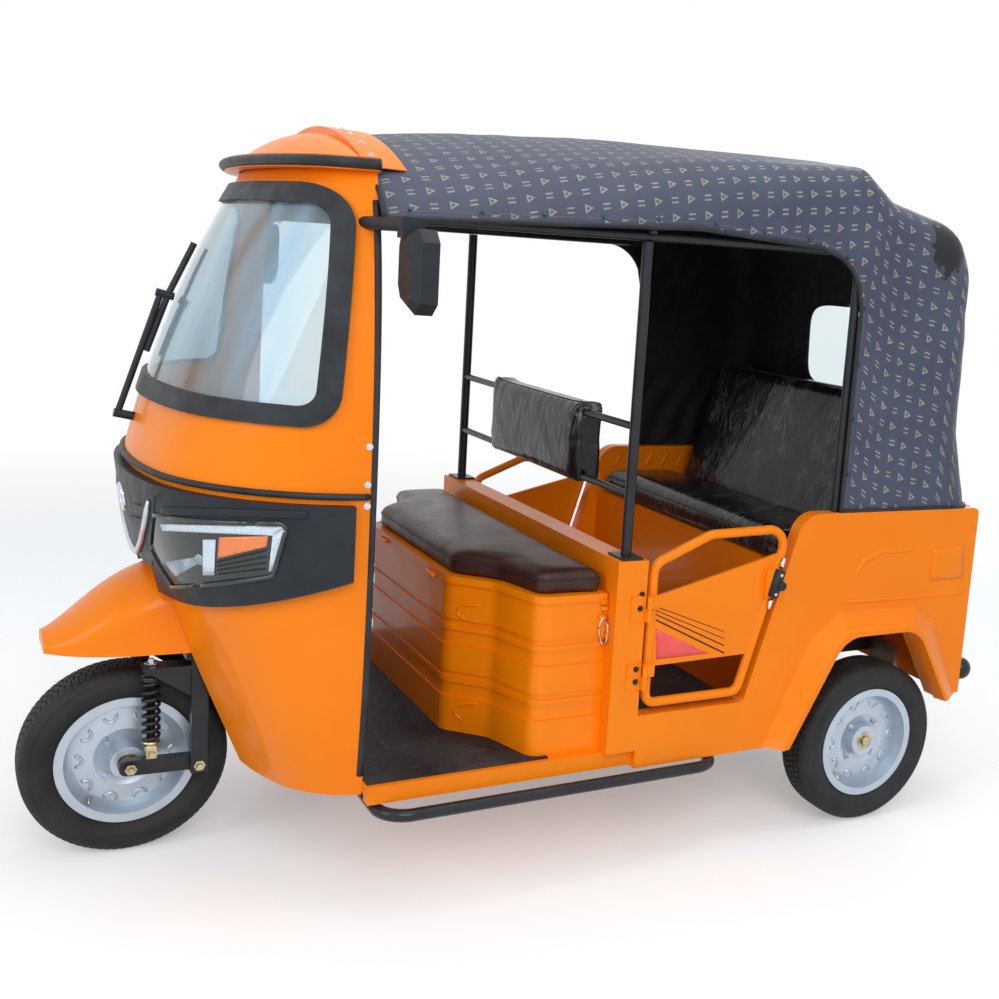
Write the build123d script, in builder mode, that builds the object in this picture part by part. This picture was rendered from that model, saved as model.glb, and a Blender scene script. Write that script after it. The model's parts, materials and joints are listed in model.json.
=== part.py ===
from build123d import *
import os
from math import atan2, cos, degrees, radians, sin, sqrt, tan

# Auto rickshaw with an electric drive: one front wheel on a leading link fork, two rear wheels,
# a glazed front cowl, a vinyl canopy and two tube-framed half doors.
# Millimetres, +X forward, +Y left, +Z up, origin under the middle of the bounding box.

# Driving dimensions of the running gear
wheelbase = 1964.0
rear_track = 1200.0
tyre_radius = 247.0
tyre_width = 135.0
flange_radius = 167.5
rear_overhang = 450.0
steer_rake = 20.0
steer_trail = 40.0

# Lengths along the floor: front axle to toe board, seat box, door post, rear axle to the doorway
toe_reach = 392.0
box_length = 339.0
post_width = 88.0
rear_bay = 487.0
driver_share = 0.5167

# Driving dimensions of the body
body_half = 645.0
side_wall = 45.0
sheet = 20.0
cowl_wall = 18.0
floor_bottom = 300.0
floor_top = 330.0
body_top = 962.0
beam_top = 855.0
box_top = 742.0
deck_top = 800.0
canopy_wall = 8.0
tube = 13.0
fit = 0.3

# Stations along the vehicle
overall_length = tyre_radius + wheelbase + rear_overhang
front_axle_x = overall_length / 2 - tyre_radius
rear_axle_x = front_axle_x - wheelbase
cowl_rear_x = front_axle_x - 447
cowl_base_x = front_axle_x - 800
toe_x = front_axle_x - toe_reach
leg_room = wheelbase - toe_reach - box_length - post_width - rear_bay
box_front_x = toe_x - leg_room * driver_share
post_front_x = box_front_x - box_length
post_rear_x = post_front_x - post_width
pole_x = post_front_x - post_width / 2
deck_front_x = rear_axle_x + 327
quarter_x = rear_axle_x + 192
rear_hoop_x = rear_axle_x + 172
panel_rear_x = rear_axle_x - 363
axle_z = tyre_radius
inner_half = body_half - side_wall

os.makedirs("parts", exist_ok=True)


def side_plane(y):
    return Plane(origin=(0, y, 0), x_dir=(1, 0, 0), z_dir=(0, -1, 0))


def cross_plane(x):
    return Plane(origin=(x, 0, 0), x_dir=(0, 0, 1), z_dir=(1, 0, 0))


def steer_x(z):
    return front_axle_x + steer_trail - z * tan(radians(steer_rake))


def rod(start, end, radius):
    reach = Vector(*end) - Vector(*start)
    with BuildSketch(Plane(origin=start, z_dir=reach)) as disc:
        Circle(radius)
    extrude(disc.sketch, amount=reach.length)


def block(x_span, y_span, z_span, mode=Mode.ADD):
    centre = [(span[0] + span[1]) / 2 for span in (x_span, y_span, z_span)]
    with Locations(tuple(centre)):
        Box(
            abs(x_span[1] - x_span[0]),
            abs(y_span[1] - y_span[0]),
            abs(z_span[1] - z_span[0]),
            mode=mode,
        )


def nose_points(nose, half, corner, front):
    span = sqrt((front - corner) ** 2 - (half - corner) ** 2)
    centre = nose - front + span
    meet = atan2(half - corner, span)
    turn = (meet + radians(90)) / 2
    side = (centre, half)
    mid = (centre + corner * cos(turn), half - corner + corner * sin(turn))
    joint = (nose - front + front * cos(meet), front * sin(meet))
    return side, mid, joint


def flip(point):
    return (point[0], -point[1])


def nose_outline(base, nose, half, corner, front):
    side, mid, joint = nose_points(nose, half, corner, front)
    with BuildLine() as outline:
        Line((base, half), side)
        ThreePointArc(side, mid, joint)
        ThreePointArc(joint, (nose, 0), flip(joint))
        ThreePointArc(flip(joint), flip(mid), flip(side))
        Line(flip(side), (base, -half))
        Line((base, -half), (base, half))
    make_face(outline.edges())


# Front cowl: one D-shaped plan that shrinks and leans back above and below the black bead
# columns: level, nose ahead of the front axle, half width, corner radius
cowl_front_radius = 1200.0
bead_level = 1035.0
cowl_top = 1765.0
lower_rows = [
    (262, -230, 600, 295),
    (560, -120, 605, 360),
    (800, -47, 607, 420),
    (bead_level, -6, 607, 450),
]
upper_rows = [
    (bead_level, -6, 607, 450),
    (1400, -115, 605, 380),
    (cowl_top, -285, 598, 320),
]


def cowl_solid(rows, out):
    with BuildPart() as shape:
        for level, nose, half, corner in rows:
            with BuildSketch(Plane.XY.offset(level)):
                nose_outline(
                    cowl_base_x,
                    front_axle_x + nose + out,
                    half + out,
                    corner + out,
                    cowl_front_radius + out,
                )
        loft()
        split(bisect_by=Plane(origin=(cowl_rear_x, 0, 0), z_dir=(1, 0, 0)), keep=Keep.TOP)
    return shape.part


lower_skin = cowl_solid(lower_rows, 0)
lower_inside = cowl_solid(lower_rows, -cowl_wall)
upper_skin = cowl_solid(upper_rows, 0)
upper_inside = cowl_solid(upper_rows, -cowl_wall)

# Lower cowl with the raked bottom edge and the wheel arch
arch_low, arch_high = 205.0, 150.0
with BuildPart() as cowl_lower:
    add(lower_skin)
    add(lower_inside, mode=Mode.SUBTRACT)
    with BuildSketch(side_plane(1000)):
        with BuildLine():
            Polyline(
                (cowl_rear_x - 5, 250),
                (cowl_rear_x - 5, 294),
                (cowl_rear_x + 120, 281),
                (cowl_rear_x + 190, 268),
                (cowl_rear_x + 500, 268),
                (cowl_rear_x + 500, 250),
                close=True,
            )
        make_face()
    extrude(amount=2000, mode=Mode.SUBTRACT)
    with BuildSketch(Plane.YZ.offset(cowl_rear_x + 60)):
        with BuildLine():
            FilletPolyline(
                (-arch_low, 250),
                (-arch_high, 610),
                (-100, 655),
                (100, 655),
                (arch_high, 610),
                (arch_low, 250),
                radius=(0, 40, 40, 40, 40, 0),
                close=True,
            )
        make_face()
    extrude(amount=600, mode=Mode.SUBTRACT)
cowl_lower.part.label = "cowl_lower"
export_step(cowl_lower.part, "parts/cowl_lower.step")

# Upper cowl with the windscreen aperture, which wraps round to the pillars
screen_low, screen_high, screen_corner = 1222.0, 1698.0, 52.0
pillar_low, pillar_high = 122.0, 76.0


def screen_solid(grow):
    low, high, corner = screen_low - grow, screen_high + grow, screen_corner + grow
    with BuildPart() as shape:
        with BuildSketch(side_plane(2 * body_half)):
            with BuildLine():
                FilletPolyline(
                    (front_axle_x + 100, low),
                    (front_axle_x + 100, high),
                    (cowl_rear_x + pillar_high - grow, high),
                    (cowl_rear_x + pillar_low - grow, low),
                    radius=(0, 0, corner, corner),
                    close=True,
                )
            make_face()
        extrude(amount=4 * body_half)
    return shape.part


with BuildPart() as cowl_upper:
    add(upper_skin)
    add(upper_inside, mode=Mode.SUBTRACT)
    add(screen_solid(0), mode=Mode.SUBTRACT)
cowl_upper.part.label = "cowl_upper"
export_step(cowl_upper.part, "parts/cowl_upper.step")

with BuildPart() as windscreen:
    add(screen_solid(-0.5))
    add(upper_skin, mode=Mode.INTERSECT)
    add(cowl_solid(upper_rows, -6), mode=Mode.SUBTRACT)
windscreen.part.label = "windscreen"
export_step(windscreen.part, "parts/windscreen.step")

seal_lip, seal_cover, seal_proud = 34.0, 12.0, 12.0
with BuildPart() as windscreen_seal:
    add(screen_solid(seal_lip))
    add(screen_solid(-seal_cover), mode=Mode.SUBTRACT)
    add(cowl_solid(upper_rows, seal_proud), mode=Mode.INTERSECT)
    add(cowl_solid(upper_rows, fit), mode=Mode.SUBTRACT)
windscreen_seal.part.label = "windscreen_seal"
export_step(windscreen_seal.part, "parts/windscreen_seal.step")

# Black lamp band round the nose and the two headlamps let into its corners
band_end_low, band_slope, band_high, band_proud = 838.0, 0.335, 1014.0, 26.0
band_end_x = front_axle_x - 397
band_front_x = front_axle_x + 200
band_low = band_end_low - band_slope * (band_front_x - band_end_x)
lamp_turn = 40.0
fender_room_half, fender_room_top = 172.0, 785.0
band_outer = cowl_solid(lower_rows, band_proud)
band_inner = cowl_solid(lower_rows, fit)


def lamp_plane(side):
    return Plane(
        origin=(front_axle_x - 300, 0, 0),
        x_dir=(-side * sin(radians(lamp_turn)), cos(radians(lamp_turn)), 0),
        z_dir=(cos(radians(lamp_turn)), side * sin(radians(lamp_turn)), 0),
    )


def lamp_outline(side, grow):
    with BuildLine() as outline:
        FilletPolyline(
            (side * (40 - grow), 940 + grow),
            (side * (418 + grow), 974 + grow),
            (side * (385 + grow), 846 - grow),
            (side * (65 - grow), 762 - grow),
            (side * (-20 - grow), 832),
            radius=14 + grow,
            close=True,
        )
    make_face(outline.edges())


with BuildPart() as lamp_band:
    add(band_outer)
    add(band_inner, mode=Mode.SUBTRACT)
    with BuildSketch(side_plane(2 * body_half)):
        with BuildLine():
            Polyline(
                (band_end_x, band_end_low),
                (band_end_x, band_high),
                (band_front_x, band_high),
                (band_front_x, band_low),
                close=True,
            )
        make_face()
    extrude(amount=4 * body_half, mode=Mode.INTERSECT)
    block(
        (cowl_rear_x, band_front_x),
        (-fender_room_half, fender_room_half),
        (band_low - 10, fender_room_top),
        mode=Mode.SUBTRACT,
    )
    for side in (1, -1):
        with BuildSketch(lamp_plane(side)):
            lamp_outline(side, 0)
        extrude(amount=900, mode=Mode.SUBTRACT)
lamp_band.part.label = "lamp_band"
export_step(lamp_band.part, "parts/lamp_band.step")

with BuildPart() as headlamps:
    for side in (1, -1):
        with BuildSketch(lamp_plane(side)):
            lamp_outline(side, -0.4)
        extrude(amount=900)
    add(cowl_solid(lower_rows, band_proud - 4), mode=Mode.INTERSECT)
    add(band_inner, mode=Mode.SUBTRACT)
headlamps.part.label = "headlamps"
export_step(headlamps.part, "parts/headlamps.step")

# Front fender: a hood over the wheel that runs back into the cowl
# columns: ahead of the front axle, ridge level, half width, corner radius, crown radius
fender_low = 556.0
fender_rows = [
    (-150, 777, 165, 70, 260),
    (-60, 757, 160, 70, 240),
    (40, 707, 148, 64, 220),
    (125, 636, 118, 40, 200),
    (188, 592, 70, 18, 160),
]


def fender_solid(inset, low):
    with BuildPart() as shape:
        for ahead, ridge, half, corner, crown in fender_rows:
            with BuildSketch(cross_plane(front_axle_x + ahead - (inset if ahead > 150 else 0))):
                nose_outline(low, ridge - inset, half - inset, corner - inset, crown - inset)
        loft()
    return shape.part


with BuildPart() as front_fender:
    add(fender_solid(0, fender_low))
    add(fender_solid(7, fender_low - 10), mode=Mode.SUBTRACT)
    block((0, 3000), (-900, 900), (0, fender_low), mode=Mode.SUBTRACT)
    add(cowl_solid(lower_rows, fit), mode=Mode.SUBTRACT)
front_fender.part.label = "front_fender"
export_step(front_fender.part, "parts/front_fender.step")

# Canopy: arched sections along the roof, squarer at the rear hoop, then down to the rear wall
# columns: station, crown level, half width, shoulder radius, crown radius
canopy_front_x = cowl_rear_x - fit
roof_rows = [
    (canopy_front_x, 1876, 635, 280, 1100),
    (box_front_x - 50, 1922, 637, 250, 1250),
    (pole_x, 1955, 639, 200, 1700),
    (rear_hoop_x, 1976, 640, 90, 4000),
]
tail_rows = [
    (rear_hoop_x, 1976, 640, 90, 4000),
    (rear_axle_x + 60, 1904, 640, 95, 3500),
    (rear_axle_x - 100, 1879, 640, 100, 3000),
    (rear_axle_x - 378, 1840, 640, 110, 3000),
]
rear_wall_foot = panel_rear_x + 2
rear_wall_knee, knee_level = rear_axle_x - 296, 1190.0
rear_wall_head, rear_wall_level = rear_axle_x - 278, 1650.0


def canopy_loft(rows, inset):
    with BuildPart() as shape:
        for station, crown, half, shoulder, front in rows:
            with BuildSketch(cross_plane(station)):
                nose_outline(
                    body_top,
                    crown - inset,
                    half - inset,
                    shoulder - inset,
                    front - inset,
                )
        loft(ruled=True)
    return shape.part


def canopy_solid(inset):
    with BuildPart() as shape:
        add(canopy_loft(roof_rows, inset))
        add(canopy_loft(tail_rows, inset))
        with BuildSketch(side_plane(1000)) as profile:
            with BuildLine():
                FilletPolyline(
                    (rear_wall_foot + inset, body_top),
                    (canopy_front_x, body_top),
                    (canopy_front_x, 2100),
                    (rear_axle_x - 110, 2100),
                    (rear_axle_x - 110, 1885 - inset),
                    (rear_axle_x - 226 + inset, 1868 - inset),
                    (rear_wall_head + inset, rear_wall_level),
                    (rear_wall_knee + inset, knee_level),
                    radius=(0, 0, 0, 0, 0, 70 - inset, 90 - inset, 0),
                    close=True,
                )
            make_face()
        extrude(amount=2000, mode=Mode.INTERSECT)
        with BuildSketch(Plane.XY.offset(900)):
            with BuildLine():
                FilletPolyline(
                    (rear_wall_foot + inset - 4, -body_half + inset),
                    (canopy_front_x + 10, -body_half + inset),
                    (canopy_front_x + 10, body_half - inset),
                    (rear_wall_foot + inset - 4, body_half - inset),
                    radius=(110 - inset, 0, 0, 110 - inset),
                    close=True,
                )
            make_face()
        extrude(amount=1200, mode=Mode.INTERSECT)
    return shape.part


wall_run = rear_wall_head - rear_wall_knee
wall_rise = rear_wall_level - knee_level
rear_wall_plane = Plane(
    origin=(rear_wall_knee + wall_run * 0.45, 0, knee_level + wall_rise * 0.45),
    x_dir=(0, -1, 0),
    z_dir=(-wall_rise, 0, wall_run),
)
window_width, window_height, window_corner = 460.0, 300.0, 60.0

with BuildPart() as canopy:
    add(canopy_solid(0))
    add(canopy_solid(canopy_wall), mode=Mode.SUBTRACT)
    with BuildSketch(side_plane(1000)):
        with BuildLine():
            FilletPolyline(
                (cowl_rear_x + 50, body_top - 50),
                (cowl_rear_x + 50, 1664),
                (post_front_x - 170, 1714),
                (quarter_x - 25, 1692),
                (quarter_x, body_top - 50),
                radius=(0, 0, 400, 150, 0),
                close=True,
            )
        make_face()
    extrude(amount=2000, mode=Mode.SUBTRACT)
    with BuildSketch(rear_wall_plane.offset(-60)):
        RectangleRounded(window_width, window_height, window_corner)
    extrude(amount=120, mode=Mode.SUBTRACT)
canopy.part.label = "canopy"
export_step(canopy.part, "parts/canopy.step")

with BuildPart() as rear_window:
    with BuildSketch(rear_wall_plane.offset(-5)):
        RectangleRounded(window_width - 2 * fit, window_height - 2 * fit, window_corner - fit)
    extrude(amount=3)
rear_window.part.label = "rear_window"
export_step(rear_window.part, "parts/rear_window.step")

# Roof cap: visor brim, dome and the arched clamping band over the canopy's front edge
# columns: level, nose ahead of the front axle, half width, corner radius
brim_top = cowl_top + 30
brim_rows = [(cowl_top, -246, 592, 318), (brim_top, -243, 595, 320)]
dome_rows = [(brim_top, -282, 560, 280), (brim_top + 42, -345, 430, 230), (brim_top + 76, -425, 250, 150)]
band_depth, band_thick = 80.0, 15.0


def cap_loft(rows, inset):
    with BuildPart() as shape:
        for level, nose, half, corner in rows:
            with BuildSketch(Plane.XY.offset(level - inset)):
                nose_outline(
                    cowl_base_x,
                    front_axle_x + nose - inset,
                    half - inset,
                    corner - inset,
                    cowl_front_radius - inset,
                )
        loft(ruled=True)
        split(bisect_by=Plane(origin=(cowl_rear_x, 0, 0), z_dir=(1, 0, 0)), keep=Keep.TOP)
    return shape.part


with BuildPart() as roof_cap:
    add(cap_loft(brim_rows, 0))
    add(cap_loft(dome_rows, 0))
    add(cap_loft(dome_rows, 10), mode=Mode.SUBTRACT)
    block(
        (cowl_rear_x, front_axle_x - 330),
        (-480, 480),
        (cowl_top - 5, brim_top),
        mode=Mode.SUBTRACT,
    )
    add(canopy_loft([(cowl_rear_x + 14, *roof_rows[0][1:]), *roof_rows[:2]], -band_thick))
    block((cowl_rear_x - 600, cowl_rear_x - band_depth), (-900, 900), (0, 2200), mode=Mode.SUBTRACT)
    add(canopy_loft(roof_rows, -fit), mode=Mode.SUBTRACT)
    block((cowl_rear_x - 200, cowl_rear_x + 20), (-900, 900), (900, cowl_top), mode=Mode.SUBTRACT)
roof_cap.part.label = "roof_cap"
export_step(roof_cap.part, "parts/roof_cap.step")

# Canopy tubes: three hoops and two eave rails
# columns: station, lowest level
hoop_rows = [(canopy_front_x - 30, 1650), (pole_x, 1690), (rear_hoop_x + 14, body_top)]
# columns: station, distance from the middle, level
rail_rows = [(canopy_front_x - 30, 560, 1668), (pole_x, 597, 1684), (rear_hoop_x + 14, 608, 1700)]
pole_y, rail_z = rail_rows[1][1:]


def hoop(station, low):
    inset = canopy_wall + tube + 2
    first = [ahead for ahead, after in zip(roof_rows, roof_rows[1:]) if station >= after[0]][0]
    pair = [first, roof_rows[roof_rows.index(first) + 1]]
    share = (station - pair[0][0]) / (pair[1][0] - pair[0][0])
    ends = []
    for _, crown, half, shoulder, front in pair:
        points = nose_points(crown - inset, half - inset, shoulder - inset, front - inset)
        ends.append(list(points) + [(crown - inset, half - inset)])
    side, mid, joint, (crown, half) = [
        tuple(a + (b - a) * share for a, b in zip(first, last)) for first, last in zip(*ends)
    ]
    foot = min(low, side[0] - 1)
    with BuildPart() as shape:
        with BuildLine(cross_plane(station)) as path:
            Line((foot, half), side)
            ThreePointArc(side, mid, joint)
            ThreePointArc(joint, (crown, 0), flip(joint))
            ThreePointArc(flip(joint), flip(mid), flip(side))
            Line(flip(side), (foot, -half))
        with BuildSketch(Plane(origin=path.line @ 0, z_dir=path.line % 0)):
            Circle(tube)
        sweep(path=path.line)
        split(bisect_by=Plane.XY.offset(low), keep=Keep.TOP)
    return shape.part


with BuildPart() as canopy_frame:
    for station, low in hoop_rows:
        add(hoop(station, low))
    for side in (1, -1):
        rail = [(station, side * out, level) for station, out, level in rail_rows]
        for start, end in zip(rail, rail[1:]):
            rod(start, end, tube)
canopy_frame.part.label = "canopy_frame"
export_step(canopy_frame.part, "parts/canopy_frame.step")

# Ladder chassis with a kick-up over the rear axle, a neck and the steering head tube
rail_y, rail_width, rail_low = 280.0, 40.0, 246.0
kick_x = deck_front_x - sheet - 5
head_low, head_high = 600.0, 780.0
with BuildPart() as chassis_frame:
    for side in (1, -1):
        with BuildSketch(side_plane(side * rail_y + rail_width / 2)):
            with BuildLine():
                Polyline(
                    (toe_x + 40, rail_low),
                    (toe_x + 40, floor_bottom),
                    (kick_x, floor_bottom),
                    (kick_x - 110, 470),
                    (panel_rear_x + 35, 470),
                    (panel_rear_x + 35, 410),
                    (kick_x - 80, 410),
                    (kick_x + 30, rail_low),
                    close=True,
                )
            make_face()
        extrude(amount=rail_width)
    # columns: front end of a cross member, its low and high levels
    for front, low, high in (
        (toe_x + 40, rail_low, floor_bottom),
        (box_front_x, rail_low, floor_bottom),
        (post_rear_x + 40, rail_low, floor_bottom),
        (kick_x + 90, rail_low, floor_bottom),
        (rear_axle_x - 250, 410, 470),
    ):
        block((front - 50, front), (-rail_y, rail_y), (low, high))
    with BuildSketch(side_plane(25)):
        with BuildLine():
            Polyline(
                (toe_x + 20, rail_low),
                (toe_x + 60, rail_low),
                (steer_x(600) - 36, 605),
                (steer_x(650) - 10, 655),
                (toe_x + 20, 300),
                close=True,
            )
        make_face()
    extrude(amount=50)
    rod((steer_x(head_low), 0, head_low), (steer_x(head_high), 0, head_high), 31)
    with BuildPart(mode=Mode.SUBTRACT):
        rod((steer_x(500), 0, 500), (steer_x(900), 0, 900), 17)
chassis_frame.part.label = "chassis_frame"
export_step(chassis_frame.part, "parts/chassis_frame.step")

# Floor pan with its side sills; its front end lies inside the cowl
sill_low = 285.0
cowl_room = cowl_solid(lower_rows, -cowl_wall - fit)
with BuildPart() as floor_pan:
    block((cowl_rear_x - 1, toe_x + 20), (-700, 700), (floor_bottom, floor_top))
    add(cowl_room, mode=Mode.INTERSECT)
    block((deck_front_x - 20, cowl_rear_x + 0.5), (-inner_half + 60, inner_half - 60), (floor_bottom, floor_top))
    block((deck_front_x - 20, cowl_rear_x - fit), (-inner_half, inner_half), (floor_bottom, floor_top))
    for side in (1, -1):
        block(
            (post_rear_x, cowl_rear_x - fit),
            (side * (inner_half - 10), side * (inner_half + 25)),
            (sill_low, floor_top),
        )
floor_pan.part.label = "floor_pan"
export_step(floor_pan.part, "parts/floor_pan.step")

# Driver's seat box: a plan with a straight front and slanted ends, open at the top
box_half = 600.0
box_rear_x = post_front_x + fit
# columns: ahead of the box's rear, distance from the middle
box_corners = [(192, 597), (243, 425), (box_front_x - box_rear_x, 325)]


def box_outline(out, rear):
    right = [(box_rear_x + ahead + out, -away - out) for ahead, away in box_corners]
    left = [(box_rear_x + ahead + out, away + out) for ahead, away in reversed(box_corners)]
    corners = [(rear, -box_half - out)] + right + left + [(rear, box_half + out)]
    with BuildLine() as outline:
        FilletPolyline(*corners, radius=(0, 45, 60, 60, 60, 60, 45, 0), close=True)
    make_face(outline.edges())


hinge_x = box_front_x + 8
hinge_z = box_top
with BuildPart() as seat_box:
    with BuildSketch(Plane.XY.offset(floor_top)):
        box_outline(0, box_rear_x)
    extrude(amount=box_top - floor_top)
    with BuildSketch(Plane.XY.offset(floor_top - 1)):
        box_outline(-15, box_rear_x + 15)
    extrude(amount=box_top - floor_top + 2, mode=Mode.SUBTRACT)
    # columns: low and high levels of a pressed groove
    for low, high in ((430, 470), (485, 500), (575, 615), (630, 645)):
        with BuildSketch(Plane.XY.offset(low)):
            box_outline(1, box_rear_x - 1)
            with BuildSketch(mode=Mode.SUBTRACT):
                box_outline(-4, box_rear_x - 2)
        extrude(amount=high - low, mode=Mode.SUBTRACT)
    for y in (-220, 190):
        rod((hinge_x, y, hinge_z), (hinge_x, y + 26, hinge_z), 6)
        block((box_front_x - 2, hinge_x - 1), (y, y + 26), (hinge_z - 6, hinge_z - 0.5))
        rod((hinge_x, y, hinge_z), (hinge_x, y + 54, hinge_z), 3)
seat_box.part.label = "seat_box"
export_step(seat_box.part, "parts/seat_box.step")

with BuildPart() as battery_pack:
    block((box_rear_x + 35, box_rear_x + 225), (-380, 380), (floor_top, floor_top + 330))
battery_pack.part.label = "battery_pack"
export_step(battery_pack.part, "parts/battery_pack.step")

# Seat lid on two front hinges, and the driver's cushion on it
lid_thick = 20.0
with BuildPart() as seat_lid:
    with BuildSketch(Plane.XY.offset(box_top)):
        box_outline(4, box_rear_x + 5)
    extrude(amount=lid_thick)
    for y in (-220, 190):
        rod((hinge_x, y + 27, hinge_z), (hinge_x, y + 53, hinge_z), 6)
        block((hinge_x - 6, hinge_x + 2), (y + 27, y + 53), (hinge_z, hinge_z + 6))
        with BuildPart(mode=Mode.SUBTRACT):
            rod((hinge_x, y + 20, hinge_z), (hinge_x, y + 60, hinge_z), 3.6)
        with BuildPart(mode=Mode.SUBTRACT):
            rod((hinge_x, y - 1, hinge_z), (hinge_x, y + 26.5, hinge_z), 8)
seat_lid.part.label = "seat_lid"
export_step(seat_lid.part, "parts/seat_lid.step")

with BuildPart() as driver_cushion:
    with BuildSketch(Plane.XY.offset(box_top + lid_thick)):
        box_outline(-4, box_rear_x + 9)
    extrude(amount=62)
    fillet(driver_cushion.faces().sort_by(Axis.Z)[-1].edges(), 22)
driver_cushion.part.label = "driver_cushion"
export_step(driver_cushion.part, "parts/driver_cushion.step")

# Rubber mats in the driver's and the passengers' footwells
with BuildPart() as floor_mats:
    with BuildSketch(Plane.XY.offset(floor_top)):
        with Locations(((post_front_x + cowl_rear_x) / 2, 0)):
            Rectangle(cowl_rear_x - post_front_x - 4, 2 * inner_half + 20)
        with BuildSketch(mode=Mode.SUBTRACT):
            box_outline(2, box_rear_x - 40)
        with BuildSketch(mode=Mode.SUBTRACT):
            with Locations((box_rear_x, 0)):
                Rectangle(300, 1300)
    extrude(amount=5)
    block((deck_front_x + 4, post_rear_x - 6), (-inner_half + 6, inner_half - 6), (floor_top, floor_top + 5))
floor_mats.part.label = "floor_mats"
export_step(floor_mats.part, "parts/floor_mats.step")

# Toe board and wheel-house shelf behind and above the front wheel
shelf_low = 660.0
with BuildPart() as toe_board:
    block((toe_x, toe_x + 12), (-700, 700), (floor_top, shelf_low + 12))
    block((toe_x, front_axle_x), (-700, 700), (shelf_low, shelf_low + 12))
    add(cowl_room, mode=Mode.INTERSECT)
    with BuildPart(mode=Mode.SUBTRACT):
        rod((steer_x(600), 0, 600), (steer_x(800), 0, 800), 31 + fit)
    with BuildPart(mode=Mode.SUBTRACT):
        block((toe_x + 15, front_axle_x), (-25.5, 25.5), (shelf_low - 5, shelf_low - 0.5))
toe_board.part.label = "toe_board"
export_step(toe_board.part, "parts/toe_board.step")

# Dash shelf across the inside of the cowl with an instrument pod
with BuildPart() as dashboard:
    block((front_axle_x - 190, front_axle_x), (-700, 700), (955, 970))
    block((front_axle_x - 190, front_axle_x - 100), (-90, 90), (970, 1020))
    add(cowl_room, mode=Mode.INTERSECT)
dashboard.part.label = "dashboard"
export_step(dashboard.part, "parts/dashboard.step")

# Bulkhead: two door posts, the beam between them and a closing sheet
door_axis_x = post_rear_x - 3
door_axis_y = body_half + 17
# columns: lowest level of a hinge, level where its two knuckles meet, highest level
door_hinges = [(505, 540, 575), (692, 727, 762)]
with BuildPart() as bulkhead:
    for side in (1, -1):
        block((post_rear_x, post_front_x), (side * (body_half - 85), side * body_half), (floor_top, beam_top))
        for low, meet, high in door_hinges:
            block(
                (post_rear_x + 2, post_rear_x + 45),
                (side * body_half, side * (body_half + 5)),
                (low, high),
            )
            rod((door_axis_x, side * door_axis_y, low), (door_axis_x, side * door_axis_y, meet - 0.5), 7)
            rod((door_axis_x, side * door_axis_y, low), (door_axis_x, side * door_axis_y, high), 3.5)
            block(
                (door_axis_x - 2, post_rear_x + 6),
                (side * body_half, side * (door_axis_y - 4)),
                (low, meet - 0.5),
            )
    block((post_rear_x + 20, post_front_x), (-body_half + 80, body_half - 80), (beam_top - 55, beam_top))
    block((post_front_x - 20, post_front_x), (-body_half + 80, body_half - 80), (floor_top, beam_top))
bulkhead.part.label = "bulkhead"
export_step(bulkhead.part, "parts/bulkhead.step")

# Two poles from the beam to the eave rails with the bars that carry the driver's backrest
bar_levels, bar_radius = (1020.0, 1200.0), 10.0
pole_top = rail_z - tube - 0.8
with BuildPart() as partition_frame:
    for side in (1, -1):
        rod((pole_x, side * pole_y, beam_top), (pole_x, side * pole_y, pole_top), 14)
        block(
            (pole_x - 30, pole_x + 30),
            (side * (pole_y - 42), side * (pole_y + 42)),
            (beam_top, beam_top + 6),
        )
    for level in bar_levels:
        rod((pole_x, -pole_y, level), (pole_x, pole_y, level), bar_radius)
partition_frame.part.label = "partition_frame"
export_step(partition_frame.part, "parts/partition_frame.step")

back_front, back_half, back_low, back_high = 24.0, 325.0, 992.0, 1238.0
with BuildPart() as driver_backrest:
    block((pole_x - 58, pole_x + back_front), (-back_half, back_half), (back_low, back_high))
    fillet(driver_backrest.edges(), 11)
    for level in bar_levels:
        with BuildSketch(side_plane(back_half + 1)):
            with Locations((pole_x, level)):
                Circle(bar_radius + fit)
        extrude(amount=2 * back_half + 2, mode=Mode.SUBTRACT)
driver_backrest.part.label = "driver_backrest"
export_step(driver_backrest.part, "parts/driver_backrest.step")

# Passenger seat: corrugated riser and deck, cushion and reclined backrest
seat_half = inner_half - 40
with BuildPart() as seat_base:
    block((deck_front_x - sheet, deck_front_x), (-inner_half, inner_half), (floor_top, deck_top))
    block((panel_rear_x + 35, deck_front_x), (-inner_half, inner_half), (deck_top - sheet, deck_top))
seat_base.part.label = "seat_base"
export_step(seat_base.part, "parts/seat_base.step")

with BuildPart() as passenger_cushion:
    block((rear_axle_x + 37, deck_front_x + 8), (-seat_half, seat_half), (deck_top, deck_top + 85))
    fillet(passenger_cushion.faces().sort_by(Axis.Z)[-1].edges(), 28)
passenger_cushion.part.label = "passenger_cushion"
export_step(passenger_cushion.part, "parts/passenger_cushion.step")

back_top, back_lean, back_thick = 1300.0, 0.3153, 94.0
back_foot = rear_axle_x + 30
back_head = back_foot - back_lean * (back_top - deck_top)
with BuildPart() as passenger_backrest:
    with BuildSketch(side_plane(seat_half)):
        with BuildLine():
            Polyline(
                (back_foot, deck_top),
                (back_head, back_top),
                (back_head - back_thick, back_top),
                (back_foot - back_thick, deck_top),
                close=True,
            )
        make_face()
    extrude(amount=2 * seat_half)
    fillet(passenger_backrest.edges().filter_by(Axis.Y).group_by(Axis.Z)[-1], 35)
passenger_backrest.part.label = "passenger_backrest"
export_step(passenger_backrest.part, "parts/passenger_backrest.step")

# Rear side panels: door aperture edge at the front, flared wheel arch below
door_rear_low = rear_axle_x + rear_bay
door_rear_high = door_rear_low - 130
sill_top = 428.0
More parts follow.
